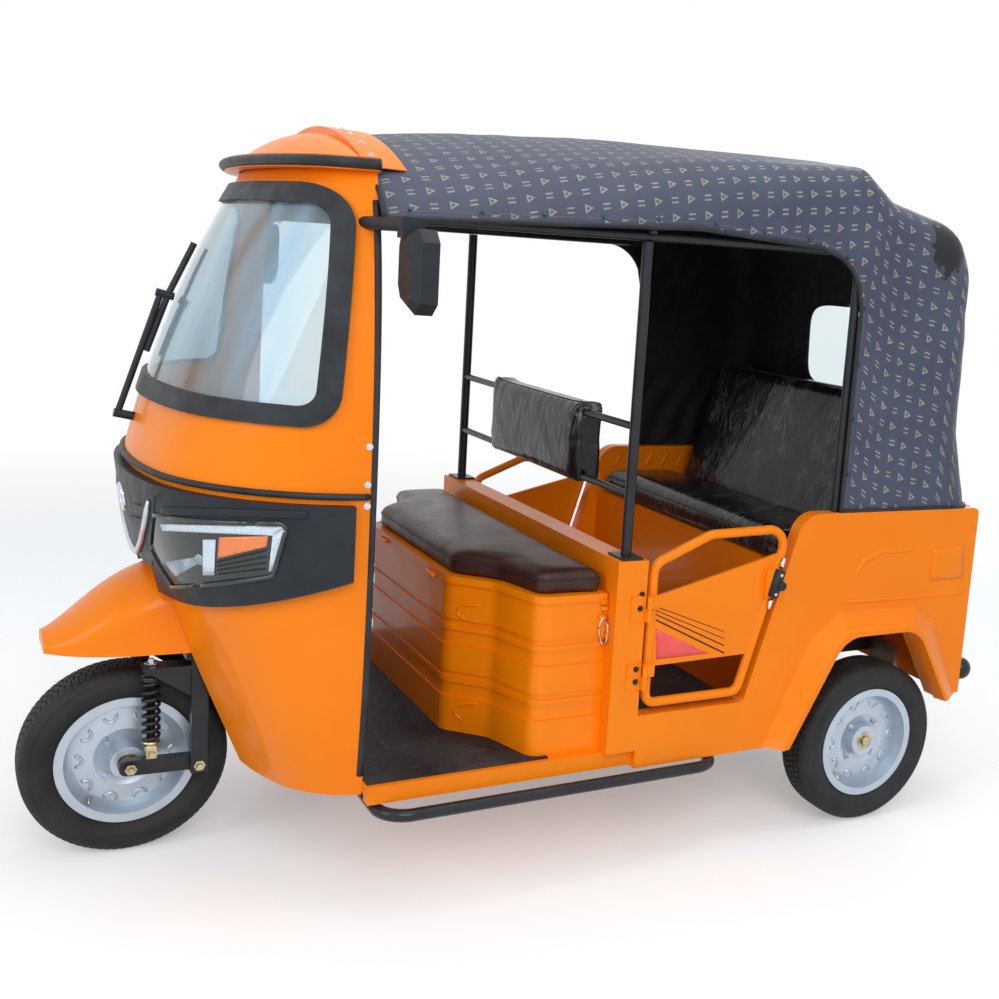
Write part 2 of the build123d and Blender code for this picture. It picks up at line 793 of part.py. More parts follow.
# columns: ahead of the rear axle, level
arch_rows = [(337, 270), (158, 602), (-120, 602), (-265, 355)]
crest_rows = [(392, 284), (250, 595), (150, 668), (-138, 668), (-235, 615), (-353, 363)]
lip_rows = [(350, 284), (186, 582), (150, 616), (-103, 616), (-135, 594), (-273, 363)]
with BuildPart() as rear_side_left:
    with BuildSketch(side_plane(body_half)):
        with BuildLine():
            FilletPolyline(
                (post_rear_x, 280),
                (post_rear_x, sill_top),
                (door_rear_low - 20, sill_top),
                (door_rear_high - 48, body_top),
                (panel_rear_x, body_top),
                (panel_rear_x, 362),
                (rear_axle_x - 200, 362),
                (rear_axle_x - 200, 280),
                radius=(0, 0, 18, 75, 20, 0, 0, 0),
                close=True,
            )
        make_face()
    extrude(amount=side_wall)
    with BuildSketch(side_plane(body_half - 4)):
        with BuildLine():
            Polyline(*[(rear_axle_x + ahead, level) for ahead, level in crest_rows], close=True)
        make_face()
    with BuildSketch(side_plane(body_half + 54)):
        with BuildLine():
            Polyline(*[(rear_axle_x + ahead, level) for ahead, level in lip_rows], close=True)
        make_face()
    loft(ruled=True)
    with BuildSketch(side_plane(900)):
        with BuildLine():
            FilletPolyline(
                *[(rear_axle_x + ahead, level) for ahead, level in arch_rows],
                (rear_axle_x - 265, 200),
                (rear_axle_x + 337, 200),
                radius=(0, 95, 95, 0, 0, 0),
                close=True,
            )
        make_face()
    extrude(amount=600, mode=Mode.SUBTRACT)
rear_side_left.part.label = "rear_side_left"
export_step(rear_side_left.part, "parts/rear_side_left.step")

with BuildPart() as rear_side_right:
    add(mirror(rear_side_left.part, about=Plane.XZ))
rear_side_right.part.label = "rear_side_right"
export_step(rear_side_right.part, "parts/rear_side_right.step")

with BuildPart() as rear_panel:
    block((panel_rear_x, panel_rear_x + 35), (-inner_half, inner_half), (362, body_top))
rear_panel.part.label = "rear_panel"
export_step(rear_panel.part, "parts/rear_panel.step")

with BuildPart() as tail_lamps:
    for side in (1, -1):
        block((panel_rear_x - 32, panel_rear_x), (side * 470, side * 560), (600, 790))
    fillet(tail_lamps.faces().group_by(Axis.X)[0].edges(), 12)
tail_lamps.part.label = "tail_lamps"
export_step(tail_lamps.part, "parts/tail_lamps.step")

# Rear bumper: a tube with ball ends on two stubs
bumper_z = 420.0
bumper_x = rear_axle_x - rear_overhang + 36
with BuildPart() as rear_bumper:
    rod((bumper_x, -600, bumper_z), (bumper_x, 600, bumper_z), 22)
    for side in (1, -1):
        with Locations((bumper_x, side * 590, bumper_z)):
            Sphere(36)
        rod((bumper_x, side * 300, bumper_z), (panel_rear_x, side * 300, bumper_z), 18)
rear_bumper.part.label = "rear_bumper"
export_step(rear_bumper.part, "parts/rear_bumper.step")

# Tubular steps below the cab sills, their ends turned in to the chassis rails
step_z, step_y = 262.0, 664.0
rail_side = rail_y + rail_width / 2
with BuildPart() as side_steps:
    for side in (1, -1):
        with BuildLine() as path:
            FilletPolyline(
                (cowl_rear_x - 30, side * rail_side, step_z),
                (cowl_rear_x - 30, side * step_y, step_z),
                (post_rear_x - 260, side * step_y, step_z),
                (post_rear_x - 260, side * rail_side, step_z),
                radius=70,
            )
        with BuildSketch(Plane(origin=path.line @ 0, z_dir=path.line % 0)):
            Circle(16)
        sweep(path=path.line)
side_steps.part.label = "side_steps"
export_step(side_steps.part, "parts/side_steps.step")

# Rear axle: beam, differential and motor as plain blocks, brake drums and spindles
wheel_y = rear_track / 2
disc_in = 5.0
drum_face = wheel_y + disc_in - 8
with BuildPart() as rear_axle:
    rod((rear_axle_x, -drum_face, axle_z), (rear_axle_x, drum_face, axle_z), 32)
    for side in (1, -1):
        rod((rear_axle_x, side * (wheel_y - 62), axle_z), (rear_axle_x, side * drum_face, axle_z), 96)
        rod((rear_axle_x, side * wheel_y, axle_z), (rear_axle_x, side * (wheel_y + 44), axle_z), 16)
        rod((rear_axle_x, side * (drum_face - 5), axle_z), (rear_axle_x, side * wheel_y, axle_z), 16)
    rod((rear_axle_x, -70, axle_z), (rear_axle_x, 70, axle_z), 92)
    rod((rear_axle_x, 40, axle_z + 20), (rear_axle_x + 230, 40, axle_z + 20), 78)
rear_axle.part.label = "rear_axle"
export_step(rear_axle.part, "parts/rear_axle.step")

# Leaf springs: stacked arched leaves with a saddle on the axle and eyes under the rails
spring_y, spring_half = 400.0, 30.0
eye_z = 395.0
with BuildPart() as leaf_springs:
    for side in (1, -1):
        y = side * spring_y
        # columns: half length of a leaf, its level at the axle, rise at its ends
        for reach, low, rise in ((295, 279 + fit, 94), (225, 288 + fit, 54), (150, 297 + fit, 24)):
            with BuildSketch(side_plane(y + spring_half)):
                with BuildLine():
                    ThreePointArc(
                        (rear_axle_x - reach, low + rise),
                        (rear_axle_x, low),
                        (rear_axle_x + reach, low + rise),
                    )
                    Line((rear_axle_x + reach, low + rise), (rear_axle_x + reach, low + rise + 9))
                    ThreePointArc(
                        (rear_axle_x + reach, low + rise + 9),
                        (rear_axle_x, low + 9),
                        (rear_axle_x - reach, low + rise + 9),
                    )
                    Line((rear_axle_x - reach, low + rise + 9), (rear_axle_x - reach, low + rise))
                make_face()
            extrude(amount=2 * spring_half)
        block((rear_axle_x + 280, deck_front_x - sheet), (y - spring_half, y + spring_half), (368, 402))
        block((rear_axle_x - 290, rear_axle_x - 272), (side * rail_side, y + side * spring_half), (368, 460))
leaf_springs.part.label = "leaf_springs"
export_step(leaf_springs.part, "parts/leaf_springs.step")

# Half doors: a closed tube frame, a sheet across its middle and the moving hinge knuckles
door_y, door_tube = body_half - 12.0, 13.0
door_front = post_rear_x - 24
door_low, door_mid, door_high = 458.0, 840.0, 922.0
door_corners = [
    (door_front, door_low),
    (door_front, door_mid),
    (door_front - 170, door_high - 8),
    (door_rear_high - 4, door_high),
    (door_rear_low, door_low),
]


def rear_tube_x(level):
    return door_rear_low + (door_rear_high - 4 - door_rear_low) * (level - door_low) / (door_high - door_low)


def half_door():
    with BuildPart() as shape:
        with BuildLine(side_plane(door_y)) as path:
            FilletPolyline(*door_corners, radius=(30, 40, 60, 50, 30), close=True)
        with BuildSketch(Plane(origin=path.line @ 0, z_dir=path.line % 0)):
            Circle(door_tube)
        sweep(path=path.line)
        with BuildSketch(side_plane(door_y + 6)) as panel:
            with BuildLine():
                Polyline(
                    (door_front, 562),
                    (door_front, 750),
                    (rear_tube_x(856), 856),
                    (rear_tube_x(568), 568),
                    close=True,
                )
            make_face()
        extrude(panel.sketch, amount=10)
        for low, meet, high in door_hinges:
            start, end = (door_axis_x, door_axis_y, meet + 0.5), (door_axis_x, door_axis_y, high)
            with BuildSketch(Plane(origin=start)) as knuckle:
                Circle(7)
            extrude(knuckle.sketch, amount=high - meet - 0.5)
            with BuildSketch(side_plane(door_axis_y - 1)) as leaf:
                with BuildLine():
                    Polyline(
                        (door_front - 8, meet + 0.5),
                        (door_axis_x - 4, meet + 0.5),
                        (door_axis_x - 4, high),
                        (door_front - 8, high),
                        close=True,
                    )
                make_face()
            extrude(leaf.sketch, amount=door_axis_y - 1 - door_y)
            with BuildSketch(Plane(origin=start)) as bore:
                Circle(4.2)
            extrude(bore.sketch, amount=high - meet, mode=Mode.SUBTRACT)
        with BuildSketch(side_plane(door_y + 22)) as latch:
            with Locations((rear_tube_x(770) + 12, 770)):
                Rectangle(40, 80)
        extrude(latch.sketch, amount=20)
    return shape.part


with BuildPart() as door_left:
    add(half_door())
door_left.part.label = "door_left"
export_step(door_left.part, "parts/door_left.step")

with BuildPart() as door_right:
    add(mirror(door_left.part, about=Plane.XZ))
door_right.part.label = "door_right"
export_step(door_right.part, "parts/door_right.step")

# Mirrors on short arms beside the windscreen pillars
mirror_x, mirror_y, mirror_z = cowl_rear_x - 35, 722.0, 1552.0
upper_room = cowl_solid(upper_rows, fit)
mirror_arm_z = mirror_z + 98
# columns: outwards from the housing's middle, above it
mirror_rows = [(-44, 92), (34, 92), (60, 64), (60, -66), (26, -92), (-36, -72), (-60, -34), (-60, 58)]
with BuildPart() as mirrors:
    for side in (1, -1):
        with BuildSketch(cross_plane(mirror_x - 28)):
            with BuildLine():
                Polyline(*[(mirror_z + up, side * (mirror_y + out)) for out, up in mirror_rows], close=True)
            make_face()
        extrude(amount=56)
    chamfer(mirrors.faces().group_by(Axis.X)[-1].edges(), 17)
    for side in (1, -1):
        block(
            (mirror_x - 16, mirror_x + 34),
            (side * (mirror_y - 42), side * (mirror_y - 4)),
            (mirror_z + 70, mirror_arm_z + 17),
        )
        rod(
            (cowl_rear_x + 28, side * (body_half - 115), mirror_arm_z),
            (mirror_x + 20, side * (mirror_y - 12), mirror_arm_z),
            15,
        )
    add(upper_room, mode=Mode.SUBTRACT)
mirrors.part.label = "mirrors"
export_step(mirrors.part, "parts/mirrors.step")


def face_x(level):
    low, mid, high = [row[1] for row in upper_rows]
    share = (level - bead_level) / (cowl_top - bead_level)
    bulge = 4 * (mid - (low + high) / 2) * share * (1 - share)
    return front_axle_x + low + (high - low) * share + bulge


# Wiper: boss below the windscreen, arm standing off the glass and blade along it
wiper_y, boss_z, joint_z = -75.0, 1130.0, 1435.0
blade_low, blade_high = 1290.0, 1570.0
with BuildPart() as wiper:
    rod((face_x(boss_z) - 34, wiper_y, boss_z - 14), (face_x(boss_z) + 46, wiper_y, boss_z + 2), 11)
    rod((face_x(boss_z) + 40, wiper_y, boss_z - 8), (face_x(joint_z) + 40, wiper_y, joint_z), 8)
    rod((face_x(blade_low) + 19, wiper_y, blade_low), (face_x(joint_z) + 22, wiper_y, joint_z), 8)
    rod((face_x(joint_z) + 22, wiper_y, joint_z), (face_x(blade_high) + 19, wiper_y, blade_high), 8)
    rod((face_x(joint_z) + 8, wiper_y, joint_z - 4), (face_x(joint_z) + 50, wiper_y, joint_z + 6), 10)
    add(cowl_solid(upper_rows, fit), mode=Mode.SUBTRACT)
wiper.part.label = "wiper"
export_step(wiper.part, "parts/wiper.step")

# Fork: steering stem, crown, two legs and the brackets over the shock absorbers
pivot_x, pivot_z = front_axle_x - 159, 242.0
leg_in, leg_out = 111.0, 137.0
link_in = 85.0
shock_x, shock_y = front_axle_x - 49, 98.0
bracket_z = 505.0
stem_top = 1075.0
with BuildPart() as fork:
    for side in (1, -1):
        block(
            (pivot_x - 20, pivot_x + 20),
            (side * leg_in, side * leg_out),
            (pivot_z - 20, 560),
        )
        block(
            (pivot_x - 20, shock_x + 24),
            (side * (shock_y - 22), side * leg_out),
            (bracket_z, bracket_z + 8),
        )
        with BuildSketch(side_plane(side * 124 + 4)):
            with BuildLine():
                Polyline(
                    (pivot_x, bracket_z - 90),
                    (shock_x + 20, bracket_z),
                    (pivot_x, bracket_z),
                    close=True,
                )
            make_face()
        extrude(amount=8)
    block((pivot_x - 34, pivot_x + 34), (-leg_out, leg_out), (528, 560))
    rod((steer_x(545), 0, 545), (steer_x(stem_top), 0, stem_top), 16.5)
fork.part.label = "fork"
export_step(fork.part, "parts/fork.step")

# Leading links with the front axle between them
with BuildPart() as link_arms:
    for side in (1, -1):
        with BuildSketch(side_plane(side * (link_in + leg_in) / 2 + 13)):
            with BuildLine():
                FilletPolyline(
                    (pivot_x - 24, pivot_z - 20),
                    (pivot_x - 24, pivot_z + 20),
                    (front_axle_x + 26, axle_z + 20),
                    (front_axle_x + 26, axle_z - 20),
                    radius=18,
                    close=True,
                )
            make_face()
        extrude(amount=26)
    rod((front_axle_x, -120, axle_z), (front_axle_x, 120, axle_z), 12)
link_arms.part.label = "link_arms"
export_step(link_arms.part, "parts/link_arms.step")

# Shock absorbers: damper with a stack of spring coils
link_top = pivot_z + 20 + (axle_z - pivot_z) * (shock_x - pivot_x) / (front_axle_x - pivot_x)
coil_count, coil_pitch = 7, 22.0
with BuildPart() as shock_absorbers:
    for side in (1, -1):
        rod((shock_x, side * shock_y, link_top + fit), (shock_x, side * shock_y, bracket_z), 11)
        rod((shock_x, side * shock_y, link_top + 30), (shock_x, side * shock_y, link_top + 40), 20)
        rod((shock_x, side * shock_y, bracket_z - 18), (shock_x, side * shock_y, bracket_z), 20)
        for index in range(coil_count):
            with Locations((shock_x, side * shock_y, link_top + 56 + index * coil_pitch)):
                Torus(15, 5)
shock_absorbers.part.label = "shock_absorbers"
export_step(shock_absorbers.part, "parts/shock_absorbers.step")

# Handlebar clamped on the stem, with two grips
bar_x = steer_x(stem_top)
with BuildPart() as handlebar:
    block((bar_x - 26, bar_x + 26), (-40, 40), (stem_top + 4, stem_top + 44))
    rod((bar_x, -150, stem_top + 24), (bar_x, 150, stem_top + 24), 11)
    for side in (1, -1):
        rod((bar_x, side * 145, stem_top + 24), (bar_x - 60, side * 335, stem_top + 12), 11)
        rod((bar_x - 24, side * 221, stem_top + 19), (bar_x - 60, side * 335, stem_top + 12), 17)
    rod((steer_x(stem_top - 10), 0, stem_top - 10), (steer_x(stem_top + 20), 0, stem_top + 20), 24)
    with BuildPart(mode=Mode.SUBTRACT):
        rod((steer_x(900), 0, 900), (bar_x, 0, stem_top), 16.5 + fit / 2)
handlebar.part.label = "handlebar"
export_step(handlebar.part, "parts/handlebar.step")

# Wheels: pressed steel rims with car tyres
rim_half, barrel, bead_seat = 54.0, 146.0, 152.0
rim_lip = 4.0


def rim_solid(centre, side, disc, hub_radius, hub_out, hub_in, bore):
    x, y, z = centre
    with BuildPart() as shape:
        with BuildSketch(Plane(origin=centre)) as section:
            with BuildLine():
                Polyline(
                    (bore, side * (disc - hub_in)),
                    (hub_radius, side * (disc - hub_in)),
                    (hub_radius, side * disc),
                    (hub_radius + 34, side * (disc + 14)),
                    (barrel - 26, side * (disc + 8)),
                    (barrel, side * disc),
                    (barrel, -side * rim_half),
                    (flange_radius, -side * rim_half),
                    (flange_radius, -side * (rim_half - rim_lip)),
                    (bead_seat, -side * (rim_half - rim_lip)),
                    (bead_seat, side * (rim_half - rim_lip)),
                    (flange_radius, side * (rim_half - rim_lip)),
                    (flange_radius, side * rim_half),
                    (barrel, side * rim_half),
                    (barrel, side * (disc + 8)),
                    (barrel - 24, side * (disc + 14)),
                    (hub_radius + 34, side * (disc + 20)),
                    (hub_radius, side * (disc + 7)),
                    (hub_radius, side * (disc + hub_out)),
                    (bore, side * (disc + hub_out)),
                    close=True,
                )
            make_face()
        revolve(section.sketch, axis=Axis(centre, (0, 1, 0)))
    return shape.part


def tyre_solid(centre):
    edge = rim_half - rim_lip - 0.5
    half = tyre_width / 2
    with BuildPart() as shape:
        with BuildSketch(Plane(origin=centre)) as section:
            with BuildLine():
                Polyline((flange_radius + 2, edge), (bead_seat + fit, edge), (bead_seat + fit, -edge), (flange_radius + 2, -edge))
                ThreePointArc((flange_radius + 2, -edge), (204, -half), (tyre_radius - 12, -half + 8))
                Polyline(
                    (tyre_radius - 12, -half + 8),
                    (tyre_radius - 2, -half + 22),
                    (tyre_radius, -half + 42),
                    (tyre_radius, half - 42),
                    (tyre_radius - 2, half - 22),
                    (tyre_radius - 12, half - 8),
                )
                ThreePointArc((tyre_radius - 12, half - 8), (204, half), (flange_radius + 2, edge))
            make_face()
        revolve(section.sketch, axis=Axis(centre, (0, 1, 0)))
    return shape.part


front_centre = (front_axle_x, 0, axle_z)
left_centre = (rear_axle_x, wheel_y, axle_z)
right_centre = (rear_axle_x, -wheel_y, axle_z)
with BuildPart() as rim_front:
    add(rim_solid(front_centre, 1, 6, 42, 66, 78, 12.5))
rim_front.part.label = "rim_front"
export_step(rim_front.part, "parts/rim_front.step")

with BuildPart() as tyre_front:
    add(tyre_solid(front_centre))
tyre_front.part.label = "tyre_front"
export_step(tyre_front.part, "parts/tyre_front.step")

with BuildPart() as rim_left:
    add(rim_solid(left_centre, 1, disc_in, 46, 34, 2, 16.5))
rim_left.part.label = "rim_left"
export_step(rim_left.part, "parts/rim_left.step")

with BuildPart() as tyre_left:
    add(tyre_solid(left_centre))
tyre_left.part.label = "tyre_left"
export_step(tyre_left.part, "parts/tyre_left.step")

with BuildPart() as rim_right:
    add(rim_solid(right_centre, -1, disc_in, 46, 34, 2, 16.5))
rim_right.part.label = "rim_right"
export_step(rim_right.part, "parts/rim_right.step")

with BuildPart() as tyre_right:
    add(tyre_solid(right_centre))
tyre_right.part.label = "tyre_right"
export_step(tyre_right.part, "parts/tyre_right.step")

# Towing eye under the rear cross member
with BuildPart() as tow_eye:
    block((panel_rear_x + 60, panel_rear_x + 72), (-40, 40), (296, 410))
    with BuildSketch(Plane.YZ.offset(panel_rear_x + 50)):
        with Locations((0, 335)):
            Circle(13)
    extrude(amount=40, mode=Mode.SUBTRACT)
tow_eye.part.label = "tow_eye"
export_step(tow_eye.part, "parts/tow_eye.step")
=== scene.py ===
import json
import math

import bmesh
import bpy
import numpy as np
from mathutils import Matrix, Vector, noise
from mathutils.bvhtree import BVHTree


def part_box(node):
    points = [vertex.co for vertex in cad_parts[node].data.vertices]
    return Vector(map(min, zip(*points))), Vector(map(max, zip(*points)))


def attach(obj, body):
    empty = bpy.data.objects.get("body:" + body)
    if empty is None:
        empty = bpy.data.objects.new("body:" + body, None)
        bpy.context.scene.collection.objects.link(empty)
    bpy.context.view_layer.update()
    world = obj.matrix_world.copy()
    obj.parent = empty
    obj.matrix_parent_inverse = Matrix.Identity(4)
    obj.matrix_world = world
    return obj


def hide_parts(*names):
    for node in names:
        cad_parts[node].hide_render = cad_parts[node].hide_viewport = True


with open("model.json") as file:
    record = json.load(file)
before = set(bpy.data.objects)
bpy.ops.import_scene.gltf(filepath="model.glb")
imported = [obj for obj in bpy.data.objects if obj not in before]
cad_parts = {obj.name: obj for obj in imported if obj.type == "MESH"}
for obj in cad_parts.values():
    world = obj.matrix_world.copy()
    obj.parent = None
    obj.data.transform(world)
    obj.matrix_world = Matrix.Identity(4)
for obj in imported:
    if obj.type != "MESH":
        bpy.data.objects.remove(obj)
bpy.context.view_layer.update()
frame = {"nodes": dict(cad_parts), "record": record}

nodes = frame["nodes"]
print("frame: loaded", len(nodes), "nodes")

# Camera, floor and light

cameraView = {
    "place": (1.5070, 3.3845, 1.5886),
    "yaw": -33.658,
    "pitch": 9.545,
    "roll": 4.911,
    "lens": 44.617,
    "sensor": 36.0,
    "shift": (-0.2332, -0.0086),
}


def addCamera(view):
    data = bpy.data.cameras.new("photoCamera")
    data.lens = view["lens"]
    data.sensor_width = view["sensor"]
    data.sensor_fit = "HORIZONTAL"
    data.shift_x, data.shift_y = view["shift"]
    yaw, pitch, roll = (math.radians(view[k]) for k in ("yaw", "pitch", "roll"))
    ahead = Vector((math.sin(yaw) * math.cos(pitch), -math.cos(yaw) * math.cos(pitch), -math.sin(pitch)))
    side = ahead.cross(Vector((0, 0, 1))).normalized()
    top = side.cross(ahead)
    right = math.cos(roll) * side + math.sin(roll) * top
    up = -math.sin(roll) * side + math.cos(roll) * top
    camera = bpy.data.objects.new("photoCamera", data)
    turn = Matrix((right, up, -ahead)).transposed().to_4x4()
    camera.matrix_world = Matrix.Translation(view["place"]) @ turn
    bpy.context.collection.objects.link(camera)
    bpy.context.scene.camera = camera


studio = {
    "skyLevel": 0.52,
    "skyTop": (0.80, 0.90, 1.0, 1),
    "skyLow": (0.98, 0.97, 0.95, 1),
    "floorColour": (0.80, 0.80, 0.80, 1),
    "floorGlow": 0.30,
    "floorReach": 40.0,
    "whiteFrom": 3.2,
    "whiteTo": 7.0,
    # name, place, aim, size, watts
    "lamps": (
        ("keyLamp", (1.6, 6.2, 4.6), (0.0, 0.0, 0.8), 4.5, 230),
        ("frontLamp", (6.0, 1.6, 3.2), (0.6, 0.0, 1.0), 3.0, 80),
        ("topLamp", (-0.4, 0.6, 5.5), (0.0, 0.0, 1.0), 4.0, 75),
        ("backLamp", (-5.5, -4.0, 4.0), (0.0, 0.0, 1.0), 3.0, 70),
    ),
}


def addLamp(name, place, aim, size, watts):
    data = bpy.data.lights.new(name, "AREA")
    data.shape = "DISK"
    data.size = size
    data.energy = watts
    lamp = bpy.data.objects.new(name, data)
    lamp.location = place
    lamp.rotation_euler = (Vector(aim) - Vector(place)).to_track_quat("-Z", "Y").to_euler()
    bpy.context.collection.objects.link(lamp)


def addSky(look):
    world = bpy.data.worlds.new("studioSky")
    bpy.context.scene.world = world
    world.use_nodes = True
    tree = world.node_tree
    tree.nodes.clear()
    out = tree.nodes.new("ShaderNodeOutputWorld")
    seen = tree.nodes.new("ShaderNodeBackground")
    lit = tree.nodes.new("ShaderNodeBackground")
    pick = tree.nodes.new("ShaderNodeMixShader")
    seen.inputs["Color"].default_value = (1, 1, 1, 1)
    lit.inputs["Strength"].default_value = look["skyLevel"]
    coords = tree.nodes.new("ShaderNodeTexCoord")
    split = tree.nodes.new("ShaderNodeSeparateXYZ")
    ramp = tree.nodes.new("ShaderNodeValToRGB")
    ramp.color_ramp.elements[0].color = look["skyLow"]
    ramp.color_ramp.elements[1].color = look["skyTop"]
    tree.links.new(coords.outputs["Generated"], split.inputs[0])
    tree.links.new(split.outputs["Z"], ramp.inputs["Fac"])
    tree.links.new(ramp.outputs["Color"], lit.inputs["Color"])
    tree.links.new(rayMask(tree), pick.inputs["Fac"])
    tree.links.new(lit.outputs[0], pick.inputs[1])
    tree.links.new(seen.outputs[0], pick.inputs[2])
    tree.links.new(pick.outputs[0], out.inputs["Surface"])


def rayMask(tree):
    path = tree.nodes.new("ShaderNodeLightPath")
    total = path.outputs["Is Camera Ray"]
    for name in ("Is Glossy Ray", "Is Transmission Ray"):
        add = tree.nodes.new("ShaderNodeMath")
        add.operation = "MAXIMUM"
        tree.links.new(total, add.inputs[0])
        tree.links.new(path.outputs[name], add.inputs[1])
        total = add.outputs[0]
    return total


def addFloor(look):
    mesh = bpy.data.meshes.new("floor")
    reach = look["floorReach"]
    mesh.from_pydata(
        [(-reach, -reach, 0), (reach, -reach, 0), (reach, reach, 0), (-reach, reach, 0)], [],
        [(0, 1, 2, 3)]
    )
    floor = bpy.data.objects.new("floor", mesh)
    bpy.context.collection.objects.link(floor)
    mat = bpy.data.materials.new("studioFloor")
    mat.use_nodes = True
    tree = mat.node_tree
    tree.nodes.clear()
    out = tree.nodes.new("ShaderNodeOutputMaterial")
    matt = tree.nodes.new("ShaderNodeBsdfDiffuse")
    glow = tree.nodes.new("ShaderNodeEmission")
    white = tree.nodes.new("ShaderNodeEmission")
    near = tree.nodes.new("ShaderNodeAddShader")
    far = tree.nodes.new("ShaderNodeMixShader")
    matt.inputs["Color"].default_value = look["floorColour"]
    coords = tree.nodes.new("ShaderNodeTexCoord")
    length = tree.nodes.new("ShaderNodeVectorMath")
    length.operation = "LENGTH"
    fade = tree.nodes.new("ShaderNodeMapRange")
    fade.interpolation_type = "SMOOTHSTEP"
    fade.inputs["From Min"].default_value = look["whiteFrom"]
    fade.inputs["From Max"].default_value = look["whiteTo"]
    seen = rayMask(tree)
    glowLevel = tree.nodes.new("ShaderNodeMath")
    glowLevel.operation = "MULTIPLY"
    glowLevel.inputs[1].default_value = look["floorGlow"]
    farShare = tree.nodes.new("ShaderNodeMath")
    farShare.operation = "MULTIPLY"
    tree.links.new(seen, glowLevel.inputs[0])
    tree.links.new(glowLevel.outputs[0], glow.inputs["Strength"])
    tree.links.new(coords.outputs["Object"], length.inputs[0])
    tree.links.new(length.outputs["Value"], fade.inputs["Value"])
    tree.links.new(fade.outputs["Result"], farShare.inputs[0])
    tree.links.new(seen, farShare.inputs[1])
    tree.links.new(matt.outputs[0], near.inputs[0])
    tree.links.new(glow.outputs[0], near.inputs[1])
    tree.links.new(farShare.outputs[0], far.inputs["Fac"])
    tree.links.new(near.outputs[0], far.inputs[1])
    tree.links.new(white.outputs[0], far.inputs[2])
    tree.links.new(far.outputs[0], out.inputs["Surface"])
    mesh.materials.append(mat)


bpy.context.scene.view_settings.view_transform = "Standard"
addCamera(cameraView)
addSky(studio)
addFloor(studio)
for row in studio["lamps"]:
    addLamp(*row)
print("studio: camera, sky, floor and", len(studio["lamps"]), "lamps")

# Shader helpers


def newFinish(name):
    mat = bpy.data.materials.new(name)
    mat.use_nodes = True
    tree = mat.node_tree
    return mat, tree, tree.nodes["Principled BSDF"]


def coordsOf(tree, kind="Object", scale=(1, 1, 1), turn=(0, 0, 0), shift=(0, 0, 0)):
    source = tree.nodes.new("ShaderNodeTexCoord")
    mapping = tree.nodes.new("ShaderNodeMapping")
    mapping.inputs["Scale"].default_value = scale
    mapping.inputs["Rotation"].default_value = turn
    mapping.inputs["Location"].default_value = shift
    tree.links.new(source.outputs[kind], mapping.inputs["Vector"])
    return mapping.outputs["Vector"]


def noiseOf(tree, coords, scale, detail=4.0, roughness=0.55):
    node = tree.nodes.new("ShaderNodeTexNoise")
    node.inputs["Scale"].default_value = scale
    node.inputs["Detail"].default_value = detail
    node.inputs["Roughness"].default_value = roughness
    tree.links.new(coords, node.inputs["Vector"])
    return node.outputs["Fac"]


def cellsOf(tree, coords, scale, feature="F1"):
    node = tree.nodes.new("ShaderNodeTexVoronoi")
    node.feature = feature
    node.inputs["Scale"].default_value = scale
    tree.links.new(coords, node.inputs["Vector"])
    return node.outputs["Distance"]


def waveOf(tree, coords, scale, axis="X", distortion=0.0):
    node = tree.nodes.new("ShaderNodeTexWave")
    node.bands_direction = axis
    node.inputs["Scale"].default_value = scale
    node.inputs["Distortion"].default_value = distortion
    tree.links.new(coords, node.inputs["Vector"])
    return node.outputs["Fac"]


def rampOf(tree, value, *stops):
    node = tree.nodes.new("ShaderNodeValToRGB")
    marks = node.color_ramp.elements
    while len(marks) < len(stops):
        marks.new(0.5)
    for mark, (place, colour) in zip(marks, stops):
        mark.position = place
        mark.color = tuple(colour) + (1,) if len(colour) == 3 else colour
    tree.links.new(value, node.inputs["Fac"])
    return node.outputs["Color"]


def rangeOf(tree, value, fromLow, fromHigh, toLow, toHigh):
    node = tree.nodes.new("ShaderNodeMapRange")
    for name, number in zip(("From Min", "From Max", "To Min", "To Max"), (fromLow, fromHigh, toLow, toHigh)):
        node.inputs[name].default_value = number
    tree.links.new(value, node.inputs["Value"])
    return node.outputs["Result"]


def mathOf(tree, operation, first, second):
    node = tree.nodes.new("ShaderNodeMath")
    node.operation = operation
    for place, value in enumerate((first, second)):
        if isinstance(value, (int, float)):
            node.inputs[place].default_value = value
        else:
            tree.links.new(value, node.inputs[place])
    return node.outputs[0]


def mixOf(tree, share, first, second):
    node = tree.nodes.new("ShaderNodeMix")
    node.data_type = "RGBA"
    sockets = (node.inputs["Factor"], node.inputs[6], node.inputs[7])
    for socket, value in zip(sockets, (share, first, second)):
        if isinstance(value, tuple):
            socket.default_value = value + (1,) if len(value) == 3 else value
        elif isinstance(value, (int, float)):
            socket.default_value = value
        else:
            tree.links.new(value, socket)
    return node.outputs[2]


def bumpOn(tree, shader, height, strength, distance):
    node = tree.nodes.new("ShaderNodeBump")
    node.inputs["Strength"].default_value = strength
    node.inputs["Distance"].default_value = distance
    tree.links.new(height, node.inputs["Height"])
    tree.links.new(node.outputs["Normal"], shader.inputs["Normal"])


def setShader(shader, **values):
    for name, value in values.items():
        shader.inputs[name.replace("_", " ")].default_value = value


def colourBy(tree, shader, driver, *stops):
    tree.links.new(rampOf(tree, driver, *stops), shader.inputs["Base Color"])


def roughBy(tree, shader, driver, start, end, smooth, rough):
    tree.links.new(rangeOf(tree, driver, start, end, smooth, rough), shader.inputs["Roughness"])


# Finishes


